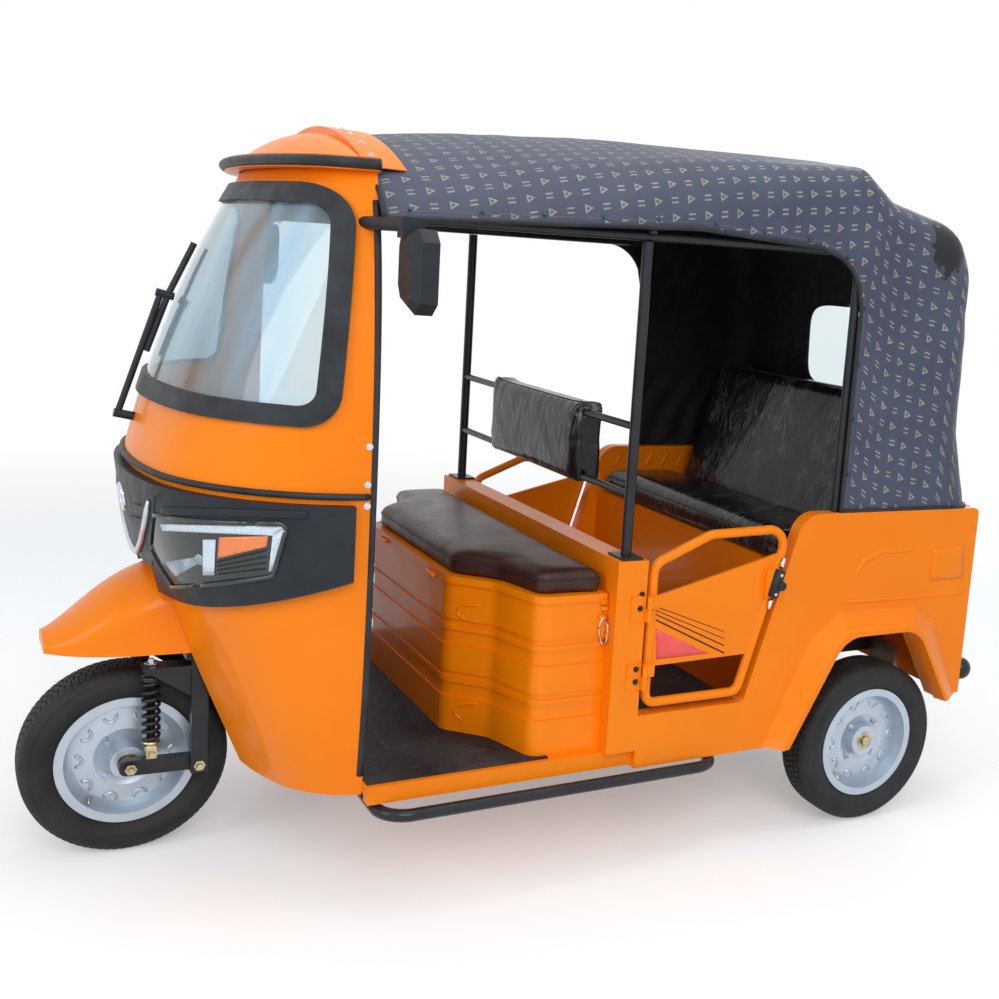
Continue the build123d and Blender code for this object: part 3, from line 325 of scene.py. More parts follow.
def paintFinish():
    mat, tree, shader = newFinish("orangePaint")
    coords = coordsOf(tree)
    cloud = noiseOf(tree, coords, 2.2, 3)
    colour = rampOf(tree, cloud, (0.3, (0.88, 0.205, 0.001)), (0.7, (0.95, 0.240, 0.002)))
    tree.links.new(colour, shader.inputs["Base Color"])
    roughBy(tree, shader, noiseOf(tree, coords, 9.0, 4), 0.3, 0.7, 0.30, 0.42)
    bumpOn(tree, shader, noiseOf(tree, coords, 260.0, 2), 0.03, 0.0005)
    setShader(shader, Coat_Weight=0.16, Coat_Roughness=0.06, Specular_IOR_Level=0.14)
    return mat


def darkFinish(name, low, high, roughLow, roughHigh, grain, strength, coat=0.0):
    mat, tree, shader = newFinish(name)
    coords = coordsOf(tree)
    colour = rampOf(tree, noiseOf(tree, coords, 14.0, 5), (0.3, low), (0.72, high))
    tree.links.new(colour, shader.inputs["Base Color"])
    roughBy(tree, shader, noiseOf(tree, coords, 30.0, 3), 0.3, 0.7, roughLow, roughHigh)
    bumpOn(tree, shader, noiseOf(tree, coords, grain, 3), strength, 0.0006)
    setShader(shader, Coat_Weight=coat, Specular_IOR_Level=0.22)
    return mat


def metalFinish(name, low, high, roughLow, roughHigh, metallic=1.0):
    mat, tree, shader = newFinish(name)
    coords = coordsOf(tree)
    colour = rampOf(tree, noiseOf(tree, coords, 22.0, 5), (0.3, low), (0.7, high))
    tree.links.new(colour, shader.inputs["Base Color"])
    roughBy(tree, shader, noiseOf(tree, coords, 60.0, 4), 0.3, 0.7, roughLow, roughHigh)
    bumpOn(tree, shader, noiseOf(tree, coords, 420.0, 2), 0.06, 0.0004)
    setShader(shader, Metallic=metallic)
    return mat


def matFinish():  # rubber mat: dust over fine round studs
    mat, tree, shader = newFinish("rubberMat")
    coords = coordsOf(tree)
    dust = noiseOf(tree, coords, 5.0, 8, 0.65)
    colour = rampOf(tree, dust, (0.38, (0.010, 0.010, 0.013)), (0.75, (0.065, 0.062, 0.064)))
    drag = noiseOf(tree, coordsOf(tree, scale=(1.0, 7.0, 1.0), turn=(0, 0, 0.6)), 16.0, 6, 0.7)
    cross = noiseOf(tree, coordsOf(tree, scale=(7.0, 1.0, 1.0), turn=(0, 0, 0.35)), 14.0, 6, 0.7)
    scuffs = rangeOf(tree, mathOf(tree, "MAXIMUM", drag, cross), 0.60, 0.72, 0.0, 0.8)
    colour = mixOf(tree, scuffs, colour, (0.16, 0.155, 0.15))
    tree.links.new(colour, shader.inputs["Base Color"])
    roughBy(tree, shader, dust, 0.3, 0.7, 0.45, 0.8)
    setShader(shader, Specular_IOR_Level=0.25)
    studs = rangeOf(tree, cellsOf(tree, coords, 95.0), 0.0, 0.6, 1.0, 0.0)
    bumpOn(tree, shader, studs, 0.35, 0.002)
    return mat


def glassFinish():
    mat, tree, shader = newFinish("windowGlass")
    coords = coordsOf(tree)
    haze = noiseOf(tree, coords, 3.0, 5)
    roughBy(tree, shader, haze, 0.3, 0.7, 0.0, 0.05)
    colourBy(tree, shader, haze, (0.3, (0.80, 0.90, 0.93)), (0.7, (0.88, 0.95, 0.97)))
    setShader(
        shader, Transmission_Weight=1.0, IOR=1.05, Specular_IOR_Level=0.9, Coat_Weight=0.6,
        Coat_Roughness=0.01
    )
    return mat


def screenFinish():  # windscreen with a bluish, streaked film; the streaks are partly smears on the film and partly painted reflection
    mat, tree, shader = newFinish("screenGlass")
    # diagonal streaks in tint and transmission: partly smears on the film, partly painted reflection
    streaks = noiseOf(tree, coordsOf(tree, scale=(2.4, 5.0, 0.55), turn=(0.5, 0, 0)), 1.7, 2, 0.5)
    tintWithReflection = rampOf(tree, streaks, (0.36, (0.66, 0.75, 0.77)), (0.66, (0.50, 0.68, 0.80)))
    tree.links.new(tintWithReflection, shader.inputs["Base Color"])
    tree.links.new(rangeOf(tree, streaks, 0.38, 0.66, 0.95, 0.70), shader.inputs["Transmission Weight"])
    roughBy(tree, shader, streaks, 0.3, 0.7, 0.0, 0.06)
    setShader(shader, IOR=1.05, Specular_IOR_Level=0.6, Coat_Weight=0.5, Coat_Roughness=0.01)
    return mat


finishes = {
    "orange_paint": paintFinish(),
    "black_steel": darkFinish(
        "blackSteel", (0.012, 0.013, 0.016), (0.022, 0.024, 0.028), 0.28, 0.42, 180, 0.08, 0.2
    ),
    "black_plastic": darkFinish(
        "blackPlastic", (0.014, 0.017, 0.021), (0.024, 0.028, 0.033), 0.36, 0.52, 900, 0.18
    ),
    "rubber_seal": darkFinish(
        "rubberSeal", (0.016, 0.018, 0.021), (0.034, 0.038, 0.044), 0.40, 0.55, 300, 0.10
    ),
    "tyre_rubber": darkFinish(
        "tyreRubber", (0.012, 0.013, 0.015), (0.030, 0.032, 0.035), 0.55, 0.75, 240, 0.18
    ),
    "battery_case": darkFinish(
        "batteryCase", (0.020, 0.022, 0.030), (0.034, 0.036, 0.046), 0.45, 0.6, 200, 0.12
    ),
    "seat_vinyl": darkFinish("seatVinyl", (0.010, 0.010, 0.012), (0.022, 0.022, 0.026), 0.34, 0.5, 480, 0.25),
    "brown_vinyl": darkFinish(
        "brownVinyl", (0.026, 0.011, 0.008), (0.052, 0.022, 0.016), 0.30, 0.46, 480, 0.25
    ),
    "canopy_vinyl": darkFinish(
        "linerVinyl", (0.010, 0.010, 0.012), (0.020, 0.020, 0.024), 0.6, 0.8, 320, 0.2
    ),
    "zinc_steel": metalFinish("zincSteel", (0.42, 0.36, 0.22), (0.62, 0.54, 0.36), 0.28, 0.42),
    "rim_silver": metalFinish("rimSilver", (0.46, 0.53, 0.61), (0.52, 0.59, 0.66), 0.28, 0.36, 0.6),
    "rubber_mat": matFinish(),
    "window_glass": screenFinish(),
    "clear_vinyl": glassFinish(),
    "lamp_lens": glassFinish(),
    "tail_lens": darkFinish(
        "tailLens", (0.30, 0.010, 0.010), (0.42, 0.020, 0.016), 0.12, 0.2, 200, 0.05, 0.8
    ),
}
slotOf = {row["node"]: row["material_slot"] for row in frame["record"]["subparts"]}
for nodeName, slotName in slotOf.items():
    for place in nodes[nodeName].material_slots:
        place.material = finishes[slotName]
print("finishes: set on", len(slotOf), "nodes")

# Stations read from the frame


def low(name):
    return Vector(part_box(name)[0])


def high(name):
    return Vector(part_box(name)[1])


jointAt = {row["name"]: Vector(row["pos_m"]) for row in frame["record"]["behaviour"]["joints"]}
frontAxle = jointAt["front_wheel_spin"]
rearAxle = jointAt["rear_left_spin"]
cowlRear = low("cowl_lower").x
poleX = (low("partition_frame").x + high("partition_frame").x) / 2
bodyTop = low("canopy").z

# Mesh helpers


def treeOf(*names):  # one search tree over some nodes
    points, faces = [], []
    for name in names:
        mesh = nodes[name].data
        start = len(points)
        points += [v.co.copy() for v in mesh.vertices]
        faces += [tuple(start + i for i in p.vertices) for p in mesh.polygons]
    return BVHTree.FromPolygons(points, faces)


def meshTree(obj):
    data = obj.data
    return BVHTree.FromPolygons(
        [v.co.copy() for v in data.vertices], [tuple(p.vertices) for p in data.polygons]
    )


def cast(tree, start, aim):
    place, normal, _, _ = tree.ray_cast(Vector(start), Vector(aim).normalized())
    if place is None:
        return None, None
    if normal.dot(Vector(aim)) > 0:
        normal = -normal
    return place, normal


def photoAim(pixel):  # direction of the camera's ray through a pixel of the 999 frame
    turn = bpy.context.scene.camera.matrix_world.to_3x3()
    scale = cameraView["sensor"] / cameraView["lens"]
    across = (pixel[0] / 999 - 0.5 + cameraView["shift"][0]) * scale
    above = (0.5 - pixel[1] / 999 + cameraView["shift"][1]) * scale
    return (turn @ Vector((across, above, -1))).normalized()


def onPhoto(tree, pixel):
    return cast(tree, cameraView["place"], photoAim(pixel))


def newMesh(name, points, faces, *looks):
    mesh = bpy.data.meshes.new(name)
    mesh.from_pydata([tuple(p) for p in points], [], faces)
    obj = bpy.data.objects.new(name, mesh)
    bpy.context.collection.objects.link(obj)
    for look in looks:
        mesh.materials.append(look)
    return obj


def settle(obj, body, smooth=True, outward=True):
    if outward:
        form = bmesh.new()
        form.from_mesh(obj.data)
        bmesh.ops.remove_doubles(form, verts=form.verts, dist=1e-6)
        bmesh.ops.recalc_face_normals(form, faces=form.faces)
        form.to_mesh(obj.data)
        form.free()
    if smooth:
        obj.data.polygons.foreach_set("use_smooth", [True] * len(obj.data.polygons))
    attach(obj, body)
    return obj


def applyAll(obj):  # modifiers become the mesh
    view = bpy.context.evaluated_depsgraph_get()
    view.update()
    mesh = bpy.data.meshes.new_from_object(obj.evaluated_get(view))
    obj.modifiers.clear()
    obj.data = mesh


class Form:  # points and faces gathered for one piece, with a finish number each
    def __init__(self):
        self.points, self.faces, self.marks = [], [], []

    def add(self, points, faces, mark=0):
        start = len(self.points)
        self.points += [Vector(p) for p in points]
        self.faces += [tuple(start + i for i in face) for face in faces]
        self.marks += [mark] * len(faces)

    def make(self, name, body, slotName, *looks, smooth=True, outward=True):
        obj = newMesh(name, self.points, self.faces, *looks)
        obj.data.polygons.foreach_set("material_index", self.marks)
        return settle(obj, body, smooth, outward)


def gridFaces(rows, columns, closeRows=False, closeColumns=False):
    faces = []
    for i in range(rows if closeRows else rows - 1):
        for j in range(columns if closeColumns else columns - 1):
            a, b = i * columns + j, i * columns + (j + 1) % columns
            c, d = ((i + 1) % rows) * columns + (j + 1) % columns, ((i + 1) % rows) * columns + j
            faces.append((a, b, c, d))
    return faces


def tubeOf(path, radius, sides=10, flat=1.0, closed=False, up=(0, 0, 1)):
    path = [Vector(p) for p in path]
    count = len(path)
    points = []
    for i, place in enumerate(path):
        before = path[i - 1] if closed or i else path[i]
        after = path[(i + 1) % count] if closed or i < count - 1 else path[i]
        along = (after - before).normalized()
        side = along.cross(Vector(up))
        if side.length < 1e-4:
            side = along.cross(Vector((0, 1, 0)))
        side.normalize()
        lift = side.cross(along)
        size = radius[i] if hasattr(radius, "__len__") else radius
        for k in range(sides):
            turn = 2 * math.pi * k / sides
            points.append(place + size * (math.cos(turn) * side + flat * math.sin(turn) * lift))
    faces = gridFaces(count, sides, closed, True)
    if not closed:
        faces += [tuple(reversed(range(sides))), tuple(range((count - 1) * sides, count * sides))]
    return points, faces


def tapered(path, radius, start, step):  # radii that grow from both ends
    return [radius * min(1, start + step * min(i, len(path) - 1 - i)) for i in range(len(path))]


def turned(profile, centre, steps=48, axis=(0, 1, 0), start=(0, 0, 1)):  # radius, distance along the axis
    axis, start = Vector(axis).normalized(), Vector(start)
    start = (start - start.dot(axis) * axis).normalized()
    other = axis.cross(start)
    points = []
    for k in range(steps):
        turn = 2 * math.pi * k / steps
        spoke = math.cos(turn) * start + math.sin(turn) * other
        points += [Vector(centre) + out * spoke + along * axis for out, along in profile]
    return points, gridFaces(steps, len(profile), True, False)


def roundBlock(lowest, highest, edge=0.004, steps=2):
    form = bmesh.new()
    bmesh.ops.create_cube(form, size=1.0)
    size = Vector(highest) - Vector(lowest)
    middle = (Vector(highest) + Vector(lowest)) / 2
    for v in form.verts:
        v.co = Vector((v.co.x * size.x, v.co.y * size.y, v.co.z * size.z)) + middle
    bmesh.ops.bevel(form, geom=list(form.edges), offset=edge, segments=steps, affect="EDGES", profile=0.6)
    form.verts.index_update()
    points = [v.co.copy() for v in form.verts]
    faces = [tuple(v.index for v in f.verts) for f in form.faces]
    form.free()
    return points, faces


def skinPatch(tree, corners, rows, columns, lift, thick):  # a pad over four photo pixels
    a, b, c, d = (Vector((*p, 0)) for p in corners)
    outer, inner = [], []
    for i in range(rows + 1):
        for j in range(columns + 1):
            s, t = i / rows, j / columns
            pixel = (a * (1 - t) + b * t) * (1 - s) + (d * (1 - t) + c * t) * s
            place, normal = onPhoto(tree, pixel)
            if place is None:
                return None
            outer.append(place + normal * (lift + thick))
            inner.append(place + normal * lift)
    return closedPad(outer, inner, rows + 1, columns + 1)


def closedPad(outer, inner, rows, columns):
    count = rows * columns
    faces = gridFaces(rows, columns)
    faces += [tuple(count + i for i in reversed(face)) for face in gridFaces(rows, columns)]
    rim = [j for j in range(columns)] + [i * columns + columns - 1 for i in range(1, rows)]
    rim += [
        (rows - 1) * columns + j for j in range(columns - 2, -1, -1)
    ] + [i * columns for i in range(rows - 2, 0, -1)]
    for p, q in zip(rim, rim[1:] + rim[:1]):
        faces.append((q, p, count + p, count + q))
    return outer + inner, faces


def flipSide(points):
    return [Vector((p[0], -p[1], p[2])) for p in points]


# Fasteners: one node tree sets a domed head with a washer on each point


def headTree(name):
    tree = bpy.data.node_groups.new(name, "GeometryNodeTree")
    face = tree.interface
    face.new_socket("Geometry", in_out="INPUT", socket_type="NodeSocketGeometry")
    for label, value in (("Head Radius", 0.006), ("Head Height", 0.004), ("Washer Radius", 0.009)):
        face.new_socket(label, in_out="INPUT", socket_type="NodeSocketFloat").default_value = value
    face.new_socket("Sides", in_out="INPUT", socket_type="NodeSocketInt").default_value = 8
    face.new_socket("Finish", in_out="INPUT", socket_type="NodeSocketMaterial")
    face.new_socket("Geometry", in_out="OUTPUT", socket_type="NodeSocketGeometry")
    node, link = tree.nodes.new, tree.links.new
    source, result = node("NodeGroupInput"), node("NodeGroupOutput")
    head, washer = node("GeometryNodeMeshCone"), node("GeometryNodeMeshCylinder")
    taper = node("ShaderNodeMath")
    taper.operation = "MULTIPLY"
    taper.inputs[1].default_value = 0.72
    join, spread = node("GeometryNodeJoinGeometry"), node("GeometryNodeInstanceOnPoints")
    aim, turn = node("GeometryNodeInputNamedAttribute"), node("FunctionNodeAlignRotationToVector")
    aim.data_type = "FLOAT_VECTOR"
    aim.inputs["Name"].default_value = "aim"
    turn.axis = "Z"
    real, paint = node("GeometryNodeRealizeInstances"), node("GeometryNodeSetMaterial")
    link(source.outputs["Sides"], head.inputs["Vertices"])
    link(source.outputs["Sides"], washer.inputs["Vertices"])
    link(source.outputs["Head Radius"], head.inputs["Radius Bottom"])
    link(source.outputs["Head Radius"], taper.inputs[0])
    link(taper.outputs[0], head.inputs["Radius Top"])
    link(source.outputs["Head Height"], head.inputs["Depth"])
    link(source.outputs["Washer Radius"], washer.inputs["Radius"])
    washer.inputs["Depth"].default_value = 0.003
    link(head.outputs["Mesh"], join.inputs[0])
    link(washer.outputs["Mesh"], join.inputs[0])
    link(source.outputs["Geometry"], spread.inputs["Points"])
    link(join.outputs[0], spread.inputs["Instance"])
    link(aim.outputs["Attribute"], turn.inputs["Vector"])
    link(turn.outputs["Rotation"], spread.inputs["Rotation"])
    link(spread.outputs["Instances"], real.inputs[0])
    link(real.outputs[0], paint.inputs["Geometry"])
    link(source.outputs["Finish"], paint.inputs["Material"])
    link(paint.outputs[0], result.inputs[0])
    return tree


def socketOf(tree, label):
    return next(s.identifier for s in tree.interface.items_tree if s.name == label and s.in_out == "INPUT")


fastenerTree = headTree("fastenerHeads")


def fasten(
    name, spots, body, look, headRadius=0.006, headHeight=0.004, washerRadius=0.009, sides=8
):
    mesh = bpy.data.meshes.new(name)
    mesh.from_pydata([tuple(place) for place, _ in spots], [], [])
    aims = mesh.attributes.new("aim", "FLOAT_VECTOR", "POINT")
    aims.data.foreach_set("vector", [c for _, aim in spots for c in Vector(aim).normalized()])
    obj = bpy.data.objects.new(name, mesh)
    bpy.context.collection.objects.link(obj)
    change = obj.modifiers.new("heads", "NODES")
    change.node_group = fastenerTree
    sizes = {
        "Head Radius": headRadius, "Head Height": headHeight, "Washer Radius": washerRadius,
        "Sides": sides, "Finish": look
    }
    for label, value in sizes.items():
        change[socketOf(fastenerTree, label)] = value
    applyAll(obj)
    if not obj.data.materials:
        obj.data.materials.append(look)
    return settle(obj, body, smooth=False)

# Canopy: one printed vinyl sheet over the hoops, down the quarters and across the back

canopyCut = {
    # station, crown level, half width, shoulder radius, crown radius
    "sections": (
        (cowlRear, 1.876, 0.635, 0.280, 1.10),
        (poleX + 0.333, 1.922, 0.637, 0.250, 1.25),
        (poleX, 1.955, 0.639, 0.200, 1.70),
        (rearAxle.x + 0.172, 1.976, 0.640, 0.090, 4.00),
        (rearAxle.x + 0.060, 1.904, 0.640, 0.095, 3.50),
        (rearAxle.x - 0.100, 1.879, 0.640, 0.100, 3.00),
        (rearAxle.x - 0.378, 1.840, 0.640, 0.110, 3.00),
    ),
    # level, station of the rear wall
    "rearWall": ((0.90, -0.378), (bodyTop, -0.361), (1.190, -0.296), (1.650, -0.278), (1.868, -0.226)),
    "rearRound": 0.10,
    "spine": 1.30,
    "quarter": rearAxle.x + 0.181,
    "hem": ((cowlRear, 1.664), (poleX - 0.126, 1.714), (rearAxle.x + 0.150, 1.692)),
    "hemCorner": 0.15,
    "tail": rearAxle.x,
    "thick": 0.003,
    "tornPixel": (950, 243),
    "tornReach": 0.11,
}


def sheetInside(cut, x, y, z):
    rows = np.array(cut["sections"][::-1])
    crown, half, soft, arch = (np.interp(x, rows[:, 0], rows[:, k]) for k in (1, 2, 3, 4))
    wall = np.array(cut["rearWall"])
    rear = np.interp(z, wall[:, 0], wall[:, 1]) + rearAxle.x
    wide, above = np.abs(y), z - crown + arch
    side = half - soft  # the shoulder arc's centre
    level = np.sqrt((arch - soft) ** 2 - side ** 2)
    roof = np.hypot(wide, above) - (arch - soft)
    shoulder = np.hypot(wide - side, above - level)
    out = np.where(wide * level < side * above, roof, np.where(above < level, wide - side, shoulder)) / soft
    back = (rear + cut["rearRound"] - x) / cut["rearRound"]
    return np.maximum(out, 0) ** 2 + np.maximum(back, 0) ** 2 < 1


def sheetReach(cut, start, aim):  # distance from the spine to the sheet along each aim
    near, far = np.zeros(len(start)), np.full(len(start), 2.0)
    for _ in range(36):
        mid = (near + far) / 2
        inside = sheetInside(cut, *(start + aim * mid[:, None]).T)
        near, far = np.where(inside, mid, near), np.where(inside, far, mid)
    return start + aim * near[:, None]


def hemLevel(cut, x):
    marks = np.array(cut["hem"][::-1])
    level = np.interp(x, marks[:, 0], marks[:, 1])
    corner, edge = cut["hemCorner"], cut["quarter"]
    if x < edge + corner:
        inner = max(corner ** 2 - (edge + corner - x) ** 2, 0) ** 0.5
        level = min(level, marks[0, 1] - corner + inner)
    return level


def hemAngle(cut, x, level):
    lowTurn, highTurn = 0.0, math.radians(80)
    for _ in range(30):
        mid = (lowTurn + highTurn) / 2
        start = np.array([[x, 0, cut["spine"]]])
        place = sheetReach(cut, start, np.array([[0, math.cos(mid), math.sin(mid)]]))
        lowTurn, highTurn = (mid, highTurn) if place[0, 2] < level else (lowTurn, mid)
    return lowTurn


def canopyGrid(cut):
    ahead = np.linspace(cowlRear, cut["quarter"], 90)
    behind = [cut["sections"][3][0], *np.linspace(cut["sections"][3][0], cut["tail"], 12)[1:]]
    columns = [(x, 0.0) for x in ahead] + [(x, 0.0) for x in behind]
    columns += [(cut["tail"], turn) for turn in np.linspace(0, math.pi / 2, 40)[1:-1]]
    split = hemAngle(cut, cut["quarter"], hemLevel(cut, cut["quarter"]))
    over, foot = 120, 20
    lowTurns = np.linspace(0, split, 12)[:-1]
    levels = np.linspace(bodyTop, cut["spine"], foot)[:-1]
    grid, keep = [], []
    for x, swing in columns:
        open_ = swing == 0 and x > cut["quarter"] + 1e-6
        first = hemAngle(cut, x, hemLevel(cut, x)) if open_ else split
        turns = [*lowTurns, *np.linspace(first, math.pi - first, over), *(math.pi - lowTurns[::-1])]
        starts = [(x, 0, z) for z in levels] + [(x, 0, cut["spine"])] * len(turns) + [
            (x, 0, z) for z in levels[::-1]
        ]
        turns = [0.0] * len(levels) + turns + [math.pi] * len(levels)
        aims = [
            (-math.sin(swing), math.cos(swing) * math.cos(t), math.cos(swing) * math.sin(t))
            for t in turns
        ]
        grid.append(sheetReach(cut, np.array(starts, float), np.array(aims)))
        side = len(levels) + len(lowTurns)
        keep.append([not open_ or side <= k < side + over for k in range(len(turns))])
    return np.array(grid), np.array(keep), side, over


def canopyFolds(places, normals):
    moved = []
    for place, normal in zip(places, normals):
        p = Vector(place)
        soft = noise.noise(p * 5.0) * 0.0035 + noise.noise(p * 14.0) * 0.0012
        quarter = min(max((poleX - 0.55 - p.x) / 0.15, 0), 1) * min(max((1.86 - p.z) / 0.2, 0), 1)
        lean = p.z * 0.55 + (p.x + abs(p.y) * 0.4) + 0.05 * noise.noise(p * 6.0)
        folds = math.sin(lean * 2 * math.pi / 0.105) * (
            0.4 + noise.noise(p * 4.0 + Vector((3, 1, 2)))
        ) * 0.006
        pull = max(0, 1 - abs(p.z - 1.72) / 0.12) * max(0, math.sin(p.x * 2 * math.pi / 0.16 + 1.2)) * 0.004
        moved.append(p + Vector(normal) * (soft - abs(soft) * 0.5 + quarter * folds - 0.003 - pull))
    return moved


def canopyFinish():
    mat, tree, shader = newFinish("printedVinyl")
    cell = coordsOf(tree, "UV", (1 / 0.047, 1 / 0.047, 1))
    split = tree.nodes.new("ShaderNodeSeparateXYZ")
    tree.links.new(cell, split.inputs[0])
    across, along = split.outputs["X"], split.outputs["Y"]
    u = mathOf(tree, "SUBTRACT", mathOf(tree, "FRACT", across, 0), 0.5)
    v = mathOf(tree, "SUBTRACT", mathOf(tree, "FRACT", along, 0), 0.5)
    wide = mathOf(tree, "ABSOLUTE", u, 0)
    odd = mathOf(
        tree, "FLOORED_MODULO",
        mathOf(tree, "ADD", mathOf(tree, "FLOOR", across, 0), mathOf(tree, "FLOOR", along, 0)), 2
    )
    slope = mathOf(tree, "ADD", mathOf(tree, "MULTIPLY", wide, 1.7), v)
    triangle = mathOf(
        tree, "MULTIPLY", mathOf(tree, "LESS_THAN", slope, 0.26), mathOf(tree, "GREATER_THAN", v, -0.2)
    )
    hollow = mathOf(
        tree, "MULTIPLY", mathOf(tree, "LESS_THAN", slope, 0.08), mathOf(tree, "GREATER_THAN", v, -0.12)
    )
    triangle = mathOf(tree, "SUBTRACT", triangle, hollow)
    bars = mathOf(tree, "LESS_THAN", mathOf(tree, "ABSOLUTE", mathOf(tree, "SUBTRACT", wide, 0.13), 0), 0.05)
    bars = mathOf(tree, "MULTIPLY", bars, mathOf(tree, "LESS_THAN", mathOf(tree, "ABSOLUTE", v, 0), 0.2))
    motif = mathOf(
        tree, "ADD", mathOf(tree, "MULTIPLY", triangle, odd),
        mathOf(tree, "MULTIPLY", bars, mathOf(tree, "SUBTRACT", 1, odd))
    )
    coords = coordsOf(tree)
    fade = noiseOf(tree, coords, 3.2, 6, 0.6)
    ground = rampOf(tree, fade, (0.3, (0.042, 0.049, 0.083)), (0.7, (0.070, 0.080, 0.130)))
    ink = rampOf(tree, fade, (0.3, (0.25, 0.25, 0.20)), (0.7, (0.35, 0.35, 0.28)))
    worn = mathOf(
        tree, "MULTIPLY", motif, rangeOf(tree, noiseOf(tree, coords, 60.0, 3), 0.25, 0.6, 0.55, 1.0)
    )
    cloth = mixOf(tree, worn, ground, ink)
    torn = tree.nodes.new("ShaderNodeAttribute")
    torn.attribute_name = "torn"
    ragged = mathOf(tree, "MULTIPLY", noiseOf(tree, coordsOf(tree), 34.0, 4), 0.6)
    rip = rangeOf(tree, mathOf(tree, "ADD", torn.outputs["Fac"], ragged), 0.72, 0.77, 0.0, 1.0)
    tree.links.new(mixOf(tree, rip, cloth, (0.012, 0.012, 0.014)), shader.inputs["Base Color"])
    roughBy(tree, shader, fade, 0.3, 0.7, 0.42, 0.6)
    weave = coordsOf(tree, "UV", (420, 420, 1))
    threads = mathOf(tree, "ADD", waveOf(tree, weave, 1.0, "X"), waveOf(tree, weave, 1.0, "Y"))
    height = mathOf(tree, "ADD", threads, mathOf(tree, "MULTIPLY", noiseOf(tree, coords, 24.0, 5), 6.0))
    bumpOn(tree, shader, height, 0.22, 0.0012)
    setShader(shader, Coat_Weight=0.08, Coat_Roughness=0.35, Specular_IOR_Level=0.28)
    return mat


def makeCanopy(cut):
    grid, keep, side, over = canopyGrid(cut)
    columns, rows = keep.shape
    lengths = np.zeros((columns, rows))
    lengths[:, 1:] = np.cumsum(np.linalg.norm(np.diff(grid, axis=1), axis=2), axis=1)
    lengths -= lengths[:, rows // 2][:, None]
    run = np.zeros((columns, rows))
    run[1:] = np.cumsum(np.linalg.norm(np.diff(grid[:, rows // 2], axis=0), axis=1))[:, None]
    flatIndex = -np.ones((columns, rows), int)
    flatIndex[keep] = np.arange(keep.sum())
    window = rearWindowBox()
    faces = []
    for i in range(columns - 1):
        for j in range(rows - 1):
            ring = (flatIndex[i, j], flatIndex[i + 1, j], flatIndex[i + 1, j + 1], flatIndex[i, j + 1])
            middle = (grid[i, j] + grid[i + 1, j] + grid[i + 1, j + 1] + grid[i, j + 1]) / 4
            if min(ring) >= 0 and not inWindow(middle, window):
                faces.append(tuple(int(k) for k in ring))
    places = grid[keep]
    last = columns - 1  # the two halves of the back wall meet on the middle line
    for j in range(side + over // 2):
        a, b = flatIndex[last, j], flatIndex[last, j + 1]
        c, d = flatIndex[last, rows - 2 - j], flatIndex[last, rows - 1 - j]
        middle = (places[a] + places[b] + places[c] + places[d]) / 4
        if len({a, b, c, d}) == 4 and not inWindow(middle, window):
            faces.append((int(a), int(d), int(c), int(b)))
    obj = newMesh("canopySheet", places, faces, canopyFinish(), finishes["canopy_vinyl"])
    form = bmesh.new()
    form.from_mesh(obj.data)
    bmesh.ops.recalc_face_normals(form, faces=form.faces)
    form.verts.ensure_lookup_table()
    if sum(f.normal.z * f.calc_area() for f in form.faces) < 0:
        bmesh.ops.reverse_faces(form, faces=form.faces)
    form.normal_update()
    folded = canopyFolds([v.co.copy() for v in form.verts], [v.normal.copy() for v in form.verts])
    for vertex, place in zip(form.verts, folded):
        vertex.co = place
    sheetMap = form.loops.layers.uv.new("sheetMap")
    flatRun, flatLength = run[keep], lengths[keep]
    for face in form.faces:
        for loop in face.loops:
            loop[sheetMap].uv = (flatLength[loop.vert.index], flatRun[loop.vert.index])
    area = sum(f.calc_area() for f in form.faces)
    form.to_mesh(obj.data)
    form.free()
    torn = obj.data.attributes.new("torn", "FLOAT", "POINT")
    centre = tornPlace(cut, obj)
    for vertex, item in zip(obj.data.vertices, torn.data):
        away = vertex.co - centre
        item.value = max(0, 1 - Vector((away.x, away.y, away.z * 0.65)).length / cut["tornReach"])
    wall = obj.modifiers.new("wall", "SOLIDIFY")
    wall.thickness, wall.offset = cut["thick"], -1
    wall.material_offset, wall.material_offset_rim = 1, 1
    smooth = obj.modifiers.new("smooth", "SUBSURF")
    smooth.levels = smooth.render_levels = 1
    applyAll(obj)
    form = bmesh.new()
    form.from_mesh(obj.data)
    bmesh.ops.delete(form, geom=[v for v in form.verts if not v.link_faces], context="VERTS")
    form.to_mesh(obj.data)
    form.free()
    settle(obj, "chassis", outward=False)
    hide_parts("canopy")
    print("canopy: one sheet,", len(obj.data.polygons), "faces, flat area", round(area, 3))
    return obj, grid, keep, side, over, area


def rearWindowBox():
    return low("rear_window"), high("rear_window")


def inWindow(place, window):
    lowest, highest = window
    middle, half = (lowest + highest) / 2, (highest - lowest) / 2
    across, above = abs(place[1]) / half.y, abs(place[2] - middle.z) / half.z
    return place[0] < rearAxle.x - 0.15 and across ** 5 + above ** 5 < 1


def tornPlace(cut, obj):
    place, _ = onPhoto(meshTree(obj), cut["tornPixel"])
    return place if place is not None else Vector((rearAxle.x - 0.24, 0.58, 1.80))


canopy, canopyPoints, canopyKeep, hemRow, overRows, canopyArea = makeCanopy(canopyCut)


def edgePath(kind):
    last = hemRow + overRows - 1
    ahead = [i for i in range(len(canopyPoints)) if canopyKeep[i, 0] == 0]
    edge = ahead[-1] + 1
    if kind == "left":
        return [canopyPoints[i, hemRow] for i in ahead] + [
            canopyPoints[edge, j] for j in range(hemRow, -1, -1)
        ]
    if kind == "right":
        total = canopyPoints.shape[1] - 1
        return [canopyPoints[i, last] for i in ahead] + [
            canopyPoints[edge, j] for j in range(last, total + 1)
        ]
    return [canopyPoints[0, j] for j in range(hemRow, last + 1)]


